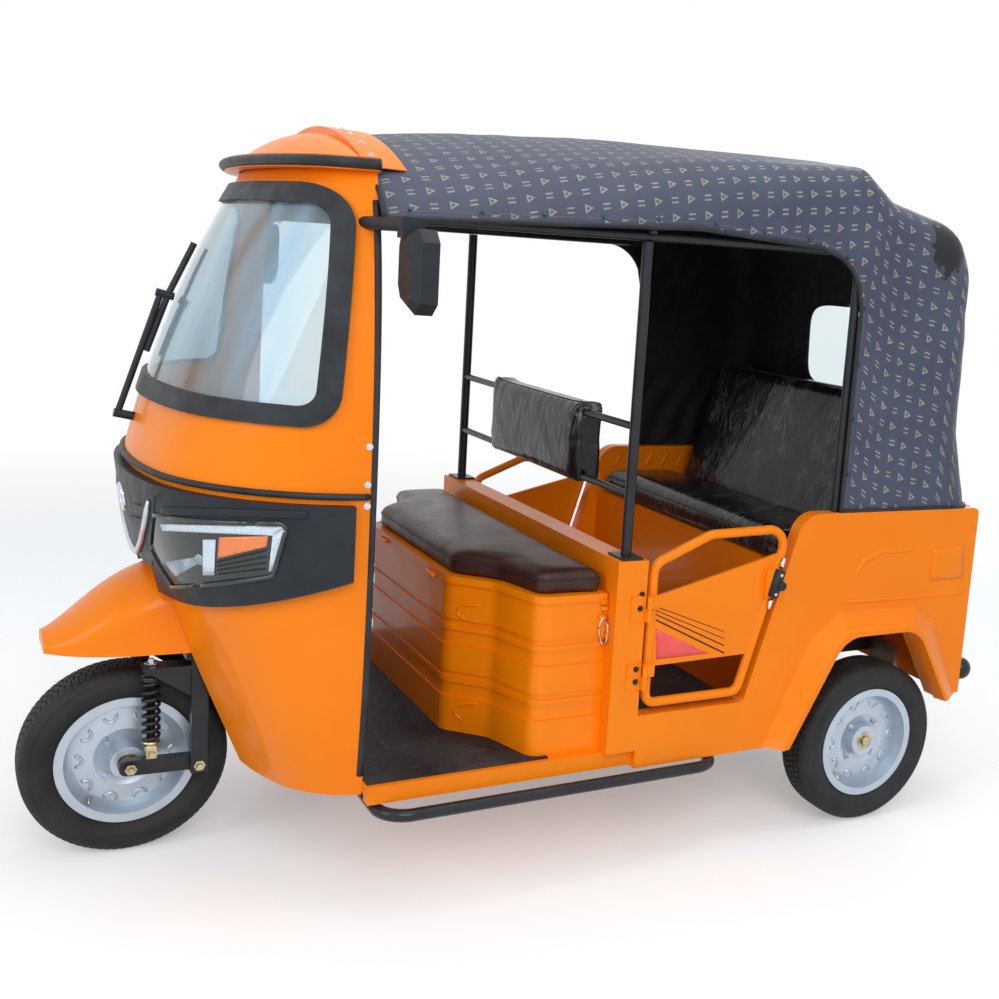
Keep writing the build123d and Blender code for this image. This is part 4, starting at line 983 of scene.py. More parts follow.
piping = Form()
for kind in ("left", "right", "front"):
    piping.add(*tubeOf(edgePath(kind), 0.0065, 8))
foot = [canopyPoints[i, 0] for i in range(90, len(canopyPoints))]
footRight = [canopyPoints[i, -1] for i in range(90, len(canopyPoints))]
footPath = [Vector(p) + Vector((0, 0, 0.004)) for p in foot + footRight[::-1]]
piping.add(*tubeOf(footPath, 0.006, 8))
pipingPiece = piping.make("canopyPiping", "chassis", "rubber_seal", finishes["rubber_seal"])

# Cushions: each starts from its CAD solid, is remeshed, then blown up as cloth


def streaksOf(tree, turn, scale, size, detail):  # noise drawn out along one turned direction
    spread = tree.nodes.new("ShaderNodeMapping")
    spread.inputs["Scale"].default_value = scale
    tree.links.new(coordsOf(tree, turn=turn), spread.inputs["Vector"])
    return noiseOf(tree, spread.outputs["Vector"], size, detail, 0.5)


def filmFinish():  # black vinyl under clear film, with long wrinkles; thin pale lines on the wrinkle ridges are painted highlight glints
    mat, tree, shader = newFinish("filmedVinyl")
    runs = ((0.30, 0.0, 0.0), (1.0, 6.5, 1.0), 4.2, 3), ((-0.45, 0.25, 0.1), (1.0, 5.0, 1.0), 6.5, 3)
    ridges = []
    for turn, scale, size, detail in runs:
        streaks = streaksOf(tree, turn, scale, size, detail)
        ridges.append(mathOf(tree, "ABSOLUTE", mathOf(tree, "SUBTRACT", streaks, 0.5), 0))
    wrinkleGlints = mathOf(tree, "MINIMUM", *ridges)
    patchy = noiseOf(tree, coordsOf(tree), 5.0, 3)
    # painted highlight: thin pale lines along the wrinkle ridges stand in for glints on the film, faded out
    # in patches
    colour = rampOf(
        tree, wrinkleGlints, (0.0, (0.19, 0.19, 0.20)), (0.010, (0.040, 0.039, 0.042)),
        (0.040, (0.012, 0.011, 0.014))
    )
    glintFade = rangeOf(tree, patchy, 0.40, 0.58, 0.0, 1.0)
    tree.links.new(mixOf(tree, glintFade, colour, (0.012, 0.011, 0.014)), shader.inputs["Base Color"])
    roughBy(tree, shader, patchy, 0.3, 0.7, 0.14, 0.30)
    height = mathOf(
        tree, "ADD", mathOf(tree, "MULTIPLY", ridges[0], -3.0), mathOf(tree, "MULTIPLY", ridges[1], -2.0)
    )
    bumpOn(tree, shader, height, 0.3, 0.004)
    setShader(shader, Coat_Weight=0.12, Coat_Roughness=0.08, Specular_IOR_Level=0.22)
    return mat


def seatFinish():  # dark brown leathercloth with fine grain and soft creases
    mat, tree, shader = newFinish("brownLeathercloth")
    coords = coordsOf(tree)
    cloud = noiseOf(tree, coords, 9.0, 5)
    colourBy(tree, shader, cloud, (0.3, (0.030, 0.011, 0.008)), (0.7, (0.060, 0.023, 0.016)))
    roughBy(tree, shader, cloud, 0.3, 0.7, 0.26, 0.42)
    grain = rangeOf(tree, cellsOf(tree, coords, 520.0), 0.0, 0.8, 0.0, 1.0)
    height = mathOf(
        tree, "ADD", mathOf(tree, "MULTIPLY", grain, 0.35),
        noiseOf(tree, coordsOf(tree, scale=(1, 0.3, 1)), 26.0, 5)
    )
    bumpOn(tree, shader, height, 0.32, 0.003)
    setShader(shader, Coat_Weight=0.1, Coat_Roughness=0.2, Specular_IOR_Level=0.22)
    return mat


def softCopy(nodeName, name, look, voxel, shrink):
    mesh = nodes[nodeName].data.copy()
    mesh.materials.clear()
    mesh.materials.append(look)
    obj = bpy.data.objects.new(name, mesh)
    bpy.context.collection.objects.link(obj)
    form = bmesh.new()
    form.from_mesh(mesh)
    bmesh.ops.remove_doubles(form, verts=form.verts, dist=1e-5)
    form.to_mesh(mesh)
    form.free()
    cells = obj.modifiers.new("cells", "REMESH")
    cells.mode, cells.voxel_size = "VOXEL", voxel
    applyAll(obj)
    for vertex, normal in zip(obj.data.vertices, [v.normal.copy() for v in obj.data.vertices]):
        vertex.co -= normal * shrink
    return obj


swelling = {"pressure": 4.0, "quality": 4, "frames": 20}


def puff(obj, cap):
    rest = [v.co.copy() for v in obj.data.vertices]
    cloth = obj.modifiers.new("puff", "CLOTH")
    cloth.settings.use_pressure = True
    cloth.settings.uniform_pressure_force = swelling["pressure"]
    cloth.settings.effector_weights.gravity = 0.0
    cloth.settings.quality = swelling["quality"]
    cloth.point_cache.frame_start, cloth.point_cache.frame_end = 1, swelling["frames"]
    scene = bpy.context.scene
    for step in range(1, swelling["frames"] + 1):
        scene.frame_set(step)
    view = bpy.context.evaluated_depsgraph_get()
    blown = [v.co.copy() for v in obj.evaluated_get(view).data.vertices]
    obj.modifiers.remove(cloth)
    scene.frame_set(1)
    for vertex, old, new in zip(obj.data.vertices, rest, blown):
        move = new - old
        vertex.co = old + move * min(1.0, cap / max(move.length, 1e-9))


def calm(obj, times):  # the short crumples of the swelling smoothed away
    form = bmesh.new()
    form.from_mesh(obj.data)
    for _ in range(times):
        bmesh.ops.smooth_vert(
            form, verts=form.verts, factor=0.5, use_axis_x=True, use_axis_y=True, use_axis_z=True
        )
    form.to_mesh(obj.data)
    form.free()


def sliceLoop(obj, place, aim):  # the ring where a plane cuts a closed mesh
    form = bmesh.new()
    form.from_mesh(obj.data)
    cut = bmesh.ops.bisect_plane(
        form, geom=form.verts[:] + form.edges[:] + form.faces[:], plane_co=place, plane_no=aim
    )
    edges = [e for e in cut["geom_cut"] if isinstance(e, bmesh.types.BMEdge)]
    near = {}
    for edge in edges:
        a, b = edge.verts
        near.setdefault(a, []).append(b)
        near.setdefault(b, []).append(a)
    start = next(iter(near))
    ring, before, here = [start.co.copy()], None, start
    while True:
        after = [v for v in near[here] if v is not before]
        if not after or after[0] is start:
            break
        before, here = here, after[0]
        ring.append(here.co.copy())
        if len(ring) > len(near):
            break
    form.free()
    return ring


cushions = {
    # node: name, body, slot, voxel, shrink, cap, fill, seam place on the node's box, seam direction
    "driver_cushion": (
        "driverCushion", "seat_lid", "brown_vinyl", 0.007, 0.004, 0.010, 0.75, 0.62, (0, 0, 1)
    ),
    "driver_backrest": ("driverBackrest", "chassis", "seat_vinyl", 0.007, 0.004, 0.010, 0.7, 0.80, (1, 0, 0)),
    "passenger_cushion": ("benchCushion", "chassis", "seat_vinyl", 0.008, 0.005, 0.014, 0.7, 0.72, (0, 0, 1)),
    "passenger_backrest": (
        "benchBackrest", "chassis", "seat_vinyl", 0.008, 0.005, 0.014, 0.7, 0.70, (0.954, 0, 0.301)
    ),
}
cushionLooks = {"brown_vinyl": seatFinish(), "seat_vinyl": filmFinish()}


def makeCushion(nodeName, name, body, slotName, voxel, shrink, cap, fill, seamShare, seamAim):
    obj = softCopy(nodeName, name, cushionLooks[slotName], voxel, shrink)
    puff(obj, cap)
    calm(obj, 10 if slotName == "seat_vinyl" else 3)
    floor = low(nodeName).z + 0.0005
    lowest, highest = low(nodeName), high(nodeName)
    middle = (lowest + highest) / 2
    half = (highest - lowest) / 2
    for vertex in obj.data.vertices:
        p = vertex.co
        share = (abs(p.y - middle.y) / half.y) ** 2
        if nodeName.endswith("cushion"):
            over = (p.x - middle.x) / half.x
            rise = max(0, (p.z - middle.z) / half.z)
            p.z += rise * 0.006 * ((1 - share) * (1 - over * over) - 0.6)
            p.z = max(p.z, floor)
        p.x += 0.0015 * noise.noise(p * 17.0)
        p.y += 0.0015 * noise.noise(p * 15.0 + Vector((5, 2, 8)))
    settle(obj, body)
    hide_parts(nodeName)
    aim = Vector(seamAim)
    if nodeName == "passenger_backrest":
        place = middle + aim * 0.022
    else:
        place = Vector(lowest[k] + (highest[k] - lowest[k]) * seamShare for k in range(3))
    ring = sliceLoop(obj, place, aim)
    seam = Form()
    seam.add(*tubeOf(ring[:: max(1, len(ring) // 240)], 0.0028, 6, closed=True))
    seam.make(name + "Seam", body, slotName, finishes["rubber_seal"])
    return obj


for nodeName, row in cushions.items():
    makeCushion(nodeName, *row)
print("cushions:", len(cushions), "made", "with simulation")

# Wheels: ribbed tyres, dimpled rims, lug bolts, hub nut and valve

wheels = {
    # body: centre, outer side, tyre node, rim node
    "wheel_front": (frontAxle, 1, "tyre_front", "rim_front"),
    "wheel_rear_left": (rearAxle, 1, "tyre_left", "rim_left"),
    "wheel_rear_right": (jointAt["rear_right_spin"], -1, "tyre_right", "rim_right"),
}
tyreShape = {
    "radius": high("tyre_front").z / 2,
    "half": (high("tyre_front").y - low("tyre_front").y) / 2,
    "flange": 0.1675,
    "seat": 0.1523,
    "bead": 0.0495,
    "grooves": (-0.033, -0.0115, 0.0115, 0.033),
    "grooveDepth": 0.0065,
    "grooveHalf": 0.0022,
    "blocks": 84,
    "blockSteps": 6,
    "sipeDepth": 0.0036,
    "edgeSipe": 0.0016,
}


def tyreProfile(t):
    edge = t["radius"]
    half = t["half"]
    wall = [
        (t["seat"], -t["bead"]), (t["flange"] + 0.002, -t["bead"]),
        (t["flange"] + 0.005, -t["bead"] - 0.004)
    ]
    wall += [
        (0.184, -half + 0.0075), (0.195, -half + 0.0022), (0.205, -half), (0.216, -half + 0.0014),
        (0.222, -half + 0.0028)
    ]
    wall += [
        (0.224, -half + 0.0018), (0.227, -half + 0.0025), (0.2345, -half + 0.0080),
        (0.2395, -half + 0.0125)
    ]
    tread = [(edge - 0.003, -half + 0.019)]
    for groove in t["grooves"]:
        crown = edge - 0.9 * groove ** 2
        tread += [
            (crown, groove - t["grooveHalf"]), (crown - t["grooveDepth"], groove - t["grooveHalf"] * 0.6)
        ]
        tread += [
            (crown - t["grooveDepth"], groove + t["grooveHalf"] * 0.6), (crown, groove + t["grooveHalf"])
        ]
    tread += [(edge - 0.003, half - 0.019)]
    return wall + tread + [(r, -y) for r, y in reversed(wall)]


def makeTyre(body, centre, nodeName, t):
    profile = tyreProfile(t)
    steps = t["blocks"] * t["blockSteps"]
    points, faces = turned(profile, centre, steps)
    shoulder = t["half"] - 0.014
    for k in range(steps):
        cut = k % t["blockSteps"] == 0
        for i, (radius, along) in enumerate(profile):
            if radius < t["radius"] - 0.011:
                continue
            outer = abs(along) > t["grooves"][-1]
            inner = abs(along) < t["grooves"][2]
            lag = (k + (t["blockSteps"] // 2 if inner else 0)) % t["blockSteps"] == 0
            if (outer and cut) or (not outer and lag and abs(along) < shoulder):
                spoke = points[k * len(profile) + i] - Vector(centre)
                spoke.y = 0
                points[k * len(profile) + i] -= spoke.normalized() * t["edgeSipe" if outer else "sipeDepth"]
    count = len(profile)
    faces += [
        (
            k * count, ((k + 1) % steps) * count, ((k + 1) % steps) * count + count - 1,
            k * count + count - 1
        )
        for k in range(steps)
    ]
    obj = newMesh(nodeName + "Tread", points, faces, tyreFinish)
    settle(obj, body)
    edge = obj.modifiers.new("hard", "EDGE_SPLIT")
    edge.split_angle = math.radians(38)
    applyAll(obj)
    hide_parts(nodeName)


def tyreLook():
    mat, tree, shader = newFinish("treadRubber")
    coords = coordsOf(tree)
    dust = noiseOf(tree, coords, 7.0, 7, 0.65)
    colourBy(tree, shader, dust, (0.35, (0.011, 0.012, 0.014)), (0.75, (0.040, 0.040, 0.040)))
    roughBy(tree, shader, dust, 0.3, 0.7, 0.5, 0.78)
    bumpOn(tree, shader, noiseOf(tree, coords, 320.0, 3), 0.2, 0.0008)
    setShader(shader, Specular_IOR_Level=0.25)
    return mat


rimTrim = {
    "dimples": 10,
    "dimpleReach": 0.117,
    "dimpleDepth": 0.016,
    "dimpleSpread": 0.13,
    "dimpleRadius": 0.0042,
    "lugs": 4,
    "lugReach": 0.068,
    "valveReach": 0.134,
    "valveTurn": -0.9,
}


def makeRimTrim(body, centre, side, rimNode):
    centre = Vector(centre)
    rim = treeOf(rimNode)
    outward = Vector((0, side, 0))

    def faceAt(radius, turn):
        place = centre + Vector((radius * math.cos(turn), side * 0.3, radius * math.sin(turn)))
        return cast(rim, place, -outward)

    dimples = Form()
    for k in range(rimTrim["dimples"]):
        middle = 2 * math.pi * k / rimTrim["dimples"]
        path = []
        for j in range(9):
            s = j / 8 * math.pi
            reach = rimTrim["dimpleReach"] - rimTrim["dimpleDepth"] * math.sin(s)
            place, normal = faceAt(reach, middle - rimTrim["dimpleSpread"] * math.cos(s))
            if place is not None:
                path.append(place + normal * 0.0005)
        dimples.add(*tubeOf(path, rimTrim["dimpleRadius"], 8, up=(0, 1, 0)))
    dimples.make(rimNode + "Dimples", body, "rim_silver", finishes["rim_silver"])
    lugs = []
    for k in range(rimTrim["lugs"]):
        place, normal = faceAt(rimTrim["lugReach"], math.pi / 4 + 2 * math.pi / rimTrim["lugs"] * k)
        lugs.append((place + normal * 0.003, normal))
    fasten(rimNode + "Lugs", lugs, body, finishes["rim_silver"], 0.0095, 0.011, 0.013, 6)
    hub = Form()
    tip = centre.y + side * (
        max(
            abs(low(rimNode).y - centre.y), abs(high(rimNode).y - centre.y)
        ) if rimNode != "rim_front" else 0.072
    )
    hubFace, _ = faceAt(0.020, 0.4)
    base = hubFace.y if hubFace is not None else tip
    nutTop = 0.014
    hub.add(
        *turned(
            [(0.0, 0.0), (0.017, 0.0), (0.017, nutTop), (0.0125, nutTop + 0.002), (0.0, nutTop + 0.002)],
            (centre.x, base, centre.z), 6, (0, side, 0)
        )
    )
    hub.add(
        *turned(
            [(0.0, 0.0), (0.026, 0.0), (0.026, 0.0035), (0.0, 0.0035)], (centre.x, base, centre.z), 24,
            (0, side, 0)
        )
    )
    hub.make(rimNode + "HubNut", body, "zinc_steel", finishes["zinc_steel"], smooth=False)
    place, normal = faceAt(rimTrim["valveReach"], rimTrim["valveTurn"])
    valve = Form()
    stem = [place, place + normal * 0.012, place + normal * 0.013, place + normal * 0.026]
    valve.add(*tubeOf(stem, [0.0055, 0.005, 0.0036, 0.0036], 10, up=(0, 0, 1)))
    valve.make(rimNode + "Valve", body, "zinc_steel", finishes["zinc_steel"])


tyreFinish = tyreLook()
for body, (centre, side, tyreNode, rimNode) in wheels.items():
    makeTyre(body, centre, tyreNode, tyreShape)
    makeRimTrim(body, centre, side, rimNode)
print("wheels:", len(wheels), "dressed")

# Front: lens inserts, lamp frames, bead, edge trims, bare disc and screws


def lensFinish():  # smoked clear cover
    mat, tree, shader = newFinish("smokedLens")
    coords = coordsOf(tree)
    cloud = noiseOf(tree, coords, 6.0, 4)
    colourBy(tree, shader, cloud, (0.3, (0.016, 0.020, 0.021)), (0.7, (0.034, 0.040, 0.040)))
    roughBy(tree, shader, cloud, 0.3, 0.7, 0.05, 0.14)
    bumpOn(tree, shader, cloud, 0.06, 0.004)
    setShader(shader, Coat_Weight=0.4, Coat_Roughness=0.03, Specular_IOR_Level=0.35)
    return mat


def insertFinish(name, dark, light, scale, metallic=0.0, rough=0.2):  # moulded cells under a clear cover
    mat, tree, shader = newFinish(name)
    coords = coordsOf(tree)
    cells = cellsOf(tree, coords, scale)
    colourBy(tree, shader, cells, (0.05, light), (0.7, dark))
    roughBy(tree, shader, cells, 0.0, 0.6, rough, rough + 0.12)
    bumpOn(tree, shader, cells, 0.3, 0.002)
    setShader(shader, Metallic=metallic, Coat_Weight=0.4, Coat_Roughness=0.04, Specular_IOR_Level=0.3)
    return mat


ledLook = insertFinish("ledPrisms", (0.52, 0.62, 0.72), (0.82, 0.88, 0.94), 300.0)
amberLook = insertFinish("amberPrisms", (0.80, 0.20, 0.06), (0.92, 0.30, 0.11), 320.0)
bowlLook = insertFinish("lampBowl", (0.20, 0.26, 0.30), (0.40, 0.48, 0.54), 40.0, 0.4)
satinLook = metalFinish("satinSilver", (0.50, 0.55, 0.60), (0.66, 0.71, 0.76), 0.26, 0.38, 0.75)
chromeLook = metalFinish("chromeSteel", (0.62, 0.64, 0.67), (0.74, 0.76, 0.79), 0.08, 0.18)
mirrorLook = metalFinish("mirrorSilver", (0.76, 0.79, 0.82), (0.84, 0.87, 0.90), 0.01, 0.03)
finishes["lamp_lens"] = lensFinish()
for place in nodes["headlamps"].material_slots:
    place.material = finishes["lamp_lens"]

lamps = {
    "turn": math.radians(40),
    "back": 0.300,
    # lens outline on its slanted plane: away from the middle, level
    "corners": ((0.040, 0.940), (0.418, 0.974), (0.385, 0.846), (0.065, 0.762), (-0.020, 0.832)),
    "round": 0.018,
    "frameRadius": 0.0055,
    # photo pixels of the inserts: top strip, outer strip, middle block
    "led": (
        ((161, 524), (287, 526.5), (273, 535.5), (163, 530.6)),
        ((273, 535.5), (286, 527.5), (279, 567), (269, 572)),
        ((203.5, 539.5), (216, 539.5), (214.6, 575), (203.5, 575)),
    ),
    "amber": ((219.5, 537), (268.5, 536), (267, 546.5), (218, 558.5)),
    "bowl": ((161, 562.9), (198, 556.5), (199, 563), (175, 579)),
    "ribs": (
        ((217.5, 562), (266.5, 550)), ((217.5, 566), (266, 556.5)), ((218, 570), (265.5, 562.5)),
        ((218.5, 574), (265, 568.5))
    ),
    "bulb": (199.5, 560),
    "brow": ((161, 506.5), (308, 511), (308, 519), (160, 514.5)),
}


def roundedLoop(corners, radius, steps=6, spacing=0.012):
    path = []
    count = len(corners)
    for i in range(count):
        before, here, after = (Vector(corners[(i + k) % count]) for k in (-1, 0, 1))
        a, b = (before - here).normalized(), (after - here).normalized()
        half = a.angle(b) / 2
        reach = radius / math.tan(half)
        centre = here + (a + b).normalized() * (radius / math.sin(half))
        for k in range(steps + 1):
            chord = (here + a * reach).lerp(here + b * reach, k / steps) - centre
            path.append(centre + chord.normalized() * radius)
    full = []
    for start, end in zip(path, path[1:] + path[:1]):
        parts = max(1, round((end - start).length / spacing))
        full += [start.lerp(end, k / parts) for k in range(parts)]
    return full


def lampLoop(side, tree):
    turn = lamps["turn"]
    across = Vector((-side * math.sin(turn), math.cos(turn), 0))
    ahead = Vector((math.cos(turn), side * math.sin(turn), 0))
    start = Vector((frontAxle.x - lamps["back"], 0, 0)) + ahead * 1.2
    path = []
    for away, level in roundedLoop(lamps["corners"], lamps["round"]):
        place, normal = cast(tree, start + across * side * away + Vector((0, 0, level)), -ahead)
        if place is not None:
            path.append(place + normal * 0.0025)
    return path


def bothSides(form, points, faces, mark=0):
    form.add(points, faces, mark)
    form.add(flipSide(points), faces, mark)


def photoPath(tree, pixels, lift=0.0, parts=6):
    path = []
    for start, end in zip(pixels, pixels[1:]):
        for k in range(parts):
            place, normal = onPhoto(tree, Vector(start).lerp(Vector(end), k / parts))
            if place is not None:
                path.append(place + normal * lift)
    place, normal = onPhoto(tree, pixels[-1])
    if place is not None:
        path.append(place + normal * lift)
    return path


def makeLamps():
    lens, band = treeOf("headlamps"), treeOf("lamp_band", "headlamps")
    inserts = Form()
    for pixels in lamps["led"]:
        bothSides(inserts, *skinPatch(lens, pixels, 4, 14, 0.0002, 0.0022))
    bothSides(inserts, *skinPatch(lens, lamps["amber"], 6, 10, 0.0002, 0.0020), 1)
    bothSides(inserts, *skinPatch(lens, lamps["bowl"], 6, 8, 0.0002, 0.0015), 2)
    place, normal = onPhoto(lens, lamps["bulb"])
    bothSides(
        inserts,
        *turned(
            [(0.0, 0.003), (0.008, 0.0028), (0.013, 0.0015), (0.014, 0.0)], place, 20, normal, (0, 0, 1)
        ),
        2
    )
    for pixels in lamps["ribs"]:
        bothSides(inserts, *tubeOf(photoPath(lens, pixels), 0.0024, 8), 3)
    inserts.make(
        "lampInserts", "chassis", "lamp_lens", ledLook, amberLook, bowlLook, finishes["black_plastic"]
    )
    frames = Form()
    for side in (1, -1):
        frames.add(*tubeOf(lampLoop(side, band), lamps["frameRadius"], 8, closed=True))
    frames.make("lampFrames", "chassis", "lamp_lens", finishes["lamp_lens"])
    brow = Form()
    bothSides(brow, *skinPatch(treeOf("lamp_band"), lamps["brow"], 4, 24, -0.002, 0.0075))
    browPiece = brow.make("lampBrows", "chassis", "black_plastic", finishes["black_plastic"])
    soft = browPiece.modifiers.new("soft", "SUBSURF")
    soft.levels = soft.render_levels = 1
    applyAll(browPiece)


makeLamps()
print("lamps: inserts, frames and brows")

nose = {
    "discPixel": (119.6, 498.6),
    "discRadius": 0.036,
    "slots": (((130.5, 503.4), (140.6, 504.8)), ((130.5, 516.2), (139.6, 517.6))),
    "slotRadius": 0.0035,
    # half of the U-shaped satin strip, from its upper end to its foot
    "strip": (
        (149.3, 501), (146.6, 520), (142.4, 540), (139.0, 549.5), (133.5, 550.5), (127.6, 545),
        (122.5, 537)
    ),
    "stripRadius": 0.0095,
    "seams": (
        ((154.6, 496.5), (153.4, 520), (152.6, 548), (152.8, 566)),
        ((154.6, 496.5), (164, 491.5), (174, 486.8))
    ),
    "seamRadius": 0.0016,
}


def makeNose():
    band = treeOf("lamp_band")
    badge = Form()
    place, normal = onPhoto(band, nose["discPixel"])
    if place is None:
        place, normal = cast(band, (2, 0, 0.93), (-1, 0, 0))
    place, normal = cast(band, (2, 0, place.z), (-1, 0, 0))
    size = nose["discRadius"]
    ring = [
        (size - 0.007, 0.002), (size - 0.005, 0.0055), (size - 0.002, 0.0055), (size, 0.003),
        (size, -0.004)
    ]
    badge.add(*turned(ring, place, 48, normal, (0, 0, 1)))
    badge.add(
        *turned(
            [
                (0.0, 0.0042), (0.012, 0.0040), (0.022, 0.0032), (size - 0.006, 0.0018),
                (size - 0.006, -0.003)
            ],
            place, 48, normal
        ),
        1
    )
    badge.make("noseDisc", "chassis", "black_plastic", chromeLook, satinLook)
    strip = Form()
    half = [p for p in photoPath(band, nose["strip"], 0.003) if p.y > 0.004]
    path = half + flipSide(half)[::-1]
    strip.add(*tubeOf(path, tapered(path, nose["stripRadius"], 0.55, 0.15), 10, 0.7, up=(1, 0, 0)))
    strip.make("noseStrip", "chassis", "black_plastic", satinLook)
    slots = Form()
    for pixels in nose["slots"]:
        bothSides(slots, *tubeOf(photoPath(band, pixels, 0.0005, 3), nose["slotRadius"], 8, 0.6))
    slots.make("noseSlots", "chassis", "black_plastic", finishes["rubber_seal"])
    seams = Form()
    for pixels in nose["seams"]:
        bothSides(seams, *tubeOf(photoPath(band, pixels, 0.0002), nose["seamRadius"], 6))
    seams.make("bandSeams", "chassis", "black_plastic", finishes["rubber_seal"])


makeNose()
print("nose: disc, strip, slots and seams")

# Roof cap: brim, low dome and the riveted arch that clamps the canopy's front edge

roofCap = {
    "nose": frontAxle.x - 0.2445,
    "half": 0.5935,
    "corner": 0.319,
    "front": 1.2,
    "brimLow": low("roof_cap").z,
    "brimHigh": low("roof_cap").z + 0.030,
    "ledge": 0.036,
    "bandFront": cowlRear + 0.014,
    "bandRear": low("roof_cap").x,
    "bandThick": 0.0148,
    "domeShare": 0.80,
    "domeRows": 10,
    "domeCurve": 1.9,
    "crestIn": 0.985,
    "rivetBack": 0.030,
    "wall": 0.003,
    "rivets": 11,
}


def brimPath(c, grow=0.0, steps=24):
    half, corner, front = c["half"] + grow, c["corner"] + grow, c["front"] + grow
    nose = c["nose"] + grow
    span = math.sqrt((front - corner) ** 2 - (half - corner) ** 2)
    middle = nose - front + span
    meet = math.atan2(half - corner, span)
    start = math.acos((cowlRear - middle) / corner)
    turns = [start + (meet - start) * k / steps for k in range(steps + 1)]
    side = [(middle + corner * math.cos(t), half - corner + corner * math.sin(t)) for t in turns]
    turns = [meet - meet * k / steps for k in range(1, steps)]
    side += [(nose - front + front * math.cos(t), front * math.sin(t)) for t in turns]
    return side + [(nose, 0.0)] + [(x, -y) for x, y in reversed(side)]


def archPath(c, out, count):
    first = hemAngle(canopyCut, cowlRear, c["brimLow"])
    turns = np.linspace(first, math.pi - first, count)
    starts = np.tile((cowlRear, 0, canopyCut["spine"]), (count, 1))
    aims = np.array([(0, math.cos(t), math.sin(t)) for t in turns])
    path = [Vector(p) for p in sheetReach(canopyCut, starts, aims)]
    moved = []
    for i, place in enumerate(path):
        along = path[min(i + 1, count - 1)] - path[max(i - 1, 0)]
        moved.append(place + Vector((0, -along.z, along.y)).normalized() * -out)
    return moved


def makeRoofCap(c):
    outline = brimPath(c)
    count = len(outline)
    inner = brimPath(c, -c["ledge"])
    arch = archPath(c, c["bandThick"], count)
    rows = [[(x, y, c["brimLow"]) for x, y in inner]]
    rows.append([(x, y, c["brimLow"]) for x, y in outline])
    rows.append([(x, y, c["brimHigh"]) for x, y in outline])
    rows.append([(x, y, c["brimHigh"] + 0.001) for x, y in inner])
    crest = [
        (
            c["bandFront"], p.y * c["crestIn"],
            c["brimHigh"] + max(0.001, (p.z - c["brimHigh"]) * c["domeShare"])
        )
        for p in arch
    ]
    for k in range(1, c["domeRows"] + 1):
        share = k / c["domeRows"]
        rise = 1 - (1 - share) ** c["domeCurve"]
        row = []
        for a, b in zip(inner, crest):
            row.append(
                (
                    a[0] + (b[0] - a[0]) * share, a[1] + (b[1] - a[1]) * share,
                    c["brimHigh"] + 0.001 + (b[2] - c["brimHigh"] - 0.001) * rise
                )
            )
        rows.append(row)
    rows.append([(c["bandFront"], p.y, p.z) for p in arch])
    rows.append([(c["bandRear"], p.y, p.z) for p in arch])
    rows.append([(c["bandRear"], p.y, p.z) for p in archPath(c, 0.004, count)])
    obj = newMesh(
        "roofCap", [p for row in rows for p in row], gridFaces(len(rows), count), finishes["orange_paint"]
    )
    form = bmesh.new()
    form.from_mesh(obj.data)
    bmesh.ops.recalc_face_normals(form, faces=form.faces)
    if sum(f.normal.z * f.calc_area() for f in form.faces if f.calc_center_median().z > c["brimHigh"]) < 0:
        bmesh.ops.reverse_faces(form, faces=form.faces)
    form.to_mesh(obj.data)
    form.free()
    wall = obj.modifiers.new("wall", "SOLIDIFY")
    wall.thickness, wall.offset = c["wall"], -1
    obj.data.polygons.foreach_set("use_smooth", [True] * len(obj.data.polygons))
    hard = obj.modifiers.new("hard", "EDGE_SPLIT")
    hard.split_angle = math.radians(40)
    applyAll(obj)
    settle(obj, "chassis", outward=False)
    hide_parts("roof_cap")
    spots = []
    for k in range(c["rivets"]):
        i = round(count * (0.06 + 0.88 * k / (c["rivets"] - 1)))
        along = arch[min(i + 1, count - 1)] - arch[max(i - 1, 0)]
        normal = Vector((0, along.z, -along.y)).normalized()
        spots.append(
            (
                Vector((c["bandFront"] - c["rivetBack"], arch[i].y, arch[i].z)),
                normal if normal.z > 0 else -normal
            )
        )
    fasten("roofRivets", spots, "chassis", satinLook, 0.0048, 0.006, 0.0085, 10)


makeRoofCap(roofCap)
print("roof cap: brim, dome and arch")

trims = {
    "beadLevel": 1.0335,
    "beadRadius": 0.0078,
    "edgeRadius": 0.0085,
    "edgeLow": 0.345,
    "edgeHigh": 1.700,
    "visorLevel": high("cowl_upper").z + 0.015,
    "visorRadius": 0.0125,
    # photo pixels of screws on the cowl's rear edge and bolts under the visor
    "screws": ((376.7, 446.8), (374.7, 484.8), (374.1, 506.1), (374.1, 570.8)),
    "screwAhead": 0.016,
    "bolts": ((382.5, 171.6), (387.5, 191.6)),
}


def ringPath(tree, level, lift, centreX, count=140, reach=118):
    path = []
    for k in range(count + 1):
        turn = math.radians(-reach + 2 * reach * k / count)
        aim = Vector((math.cos(turn), math.sin(turn), 0))
        place, normal = cast(tree, Vector((centreX, 0, level)) + aim * 2, -aim)
        if place is not None and place.x > cowlRear + 0.002 and abs(normal.z) < 0.9:
            path.append(place + Vector((normal.x, normal.y, 0)).normalized() * lift)
    return path


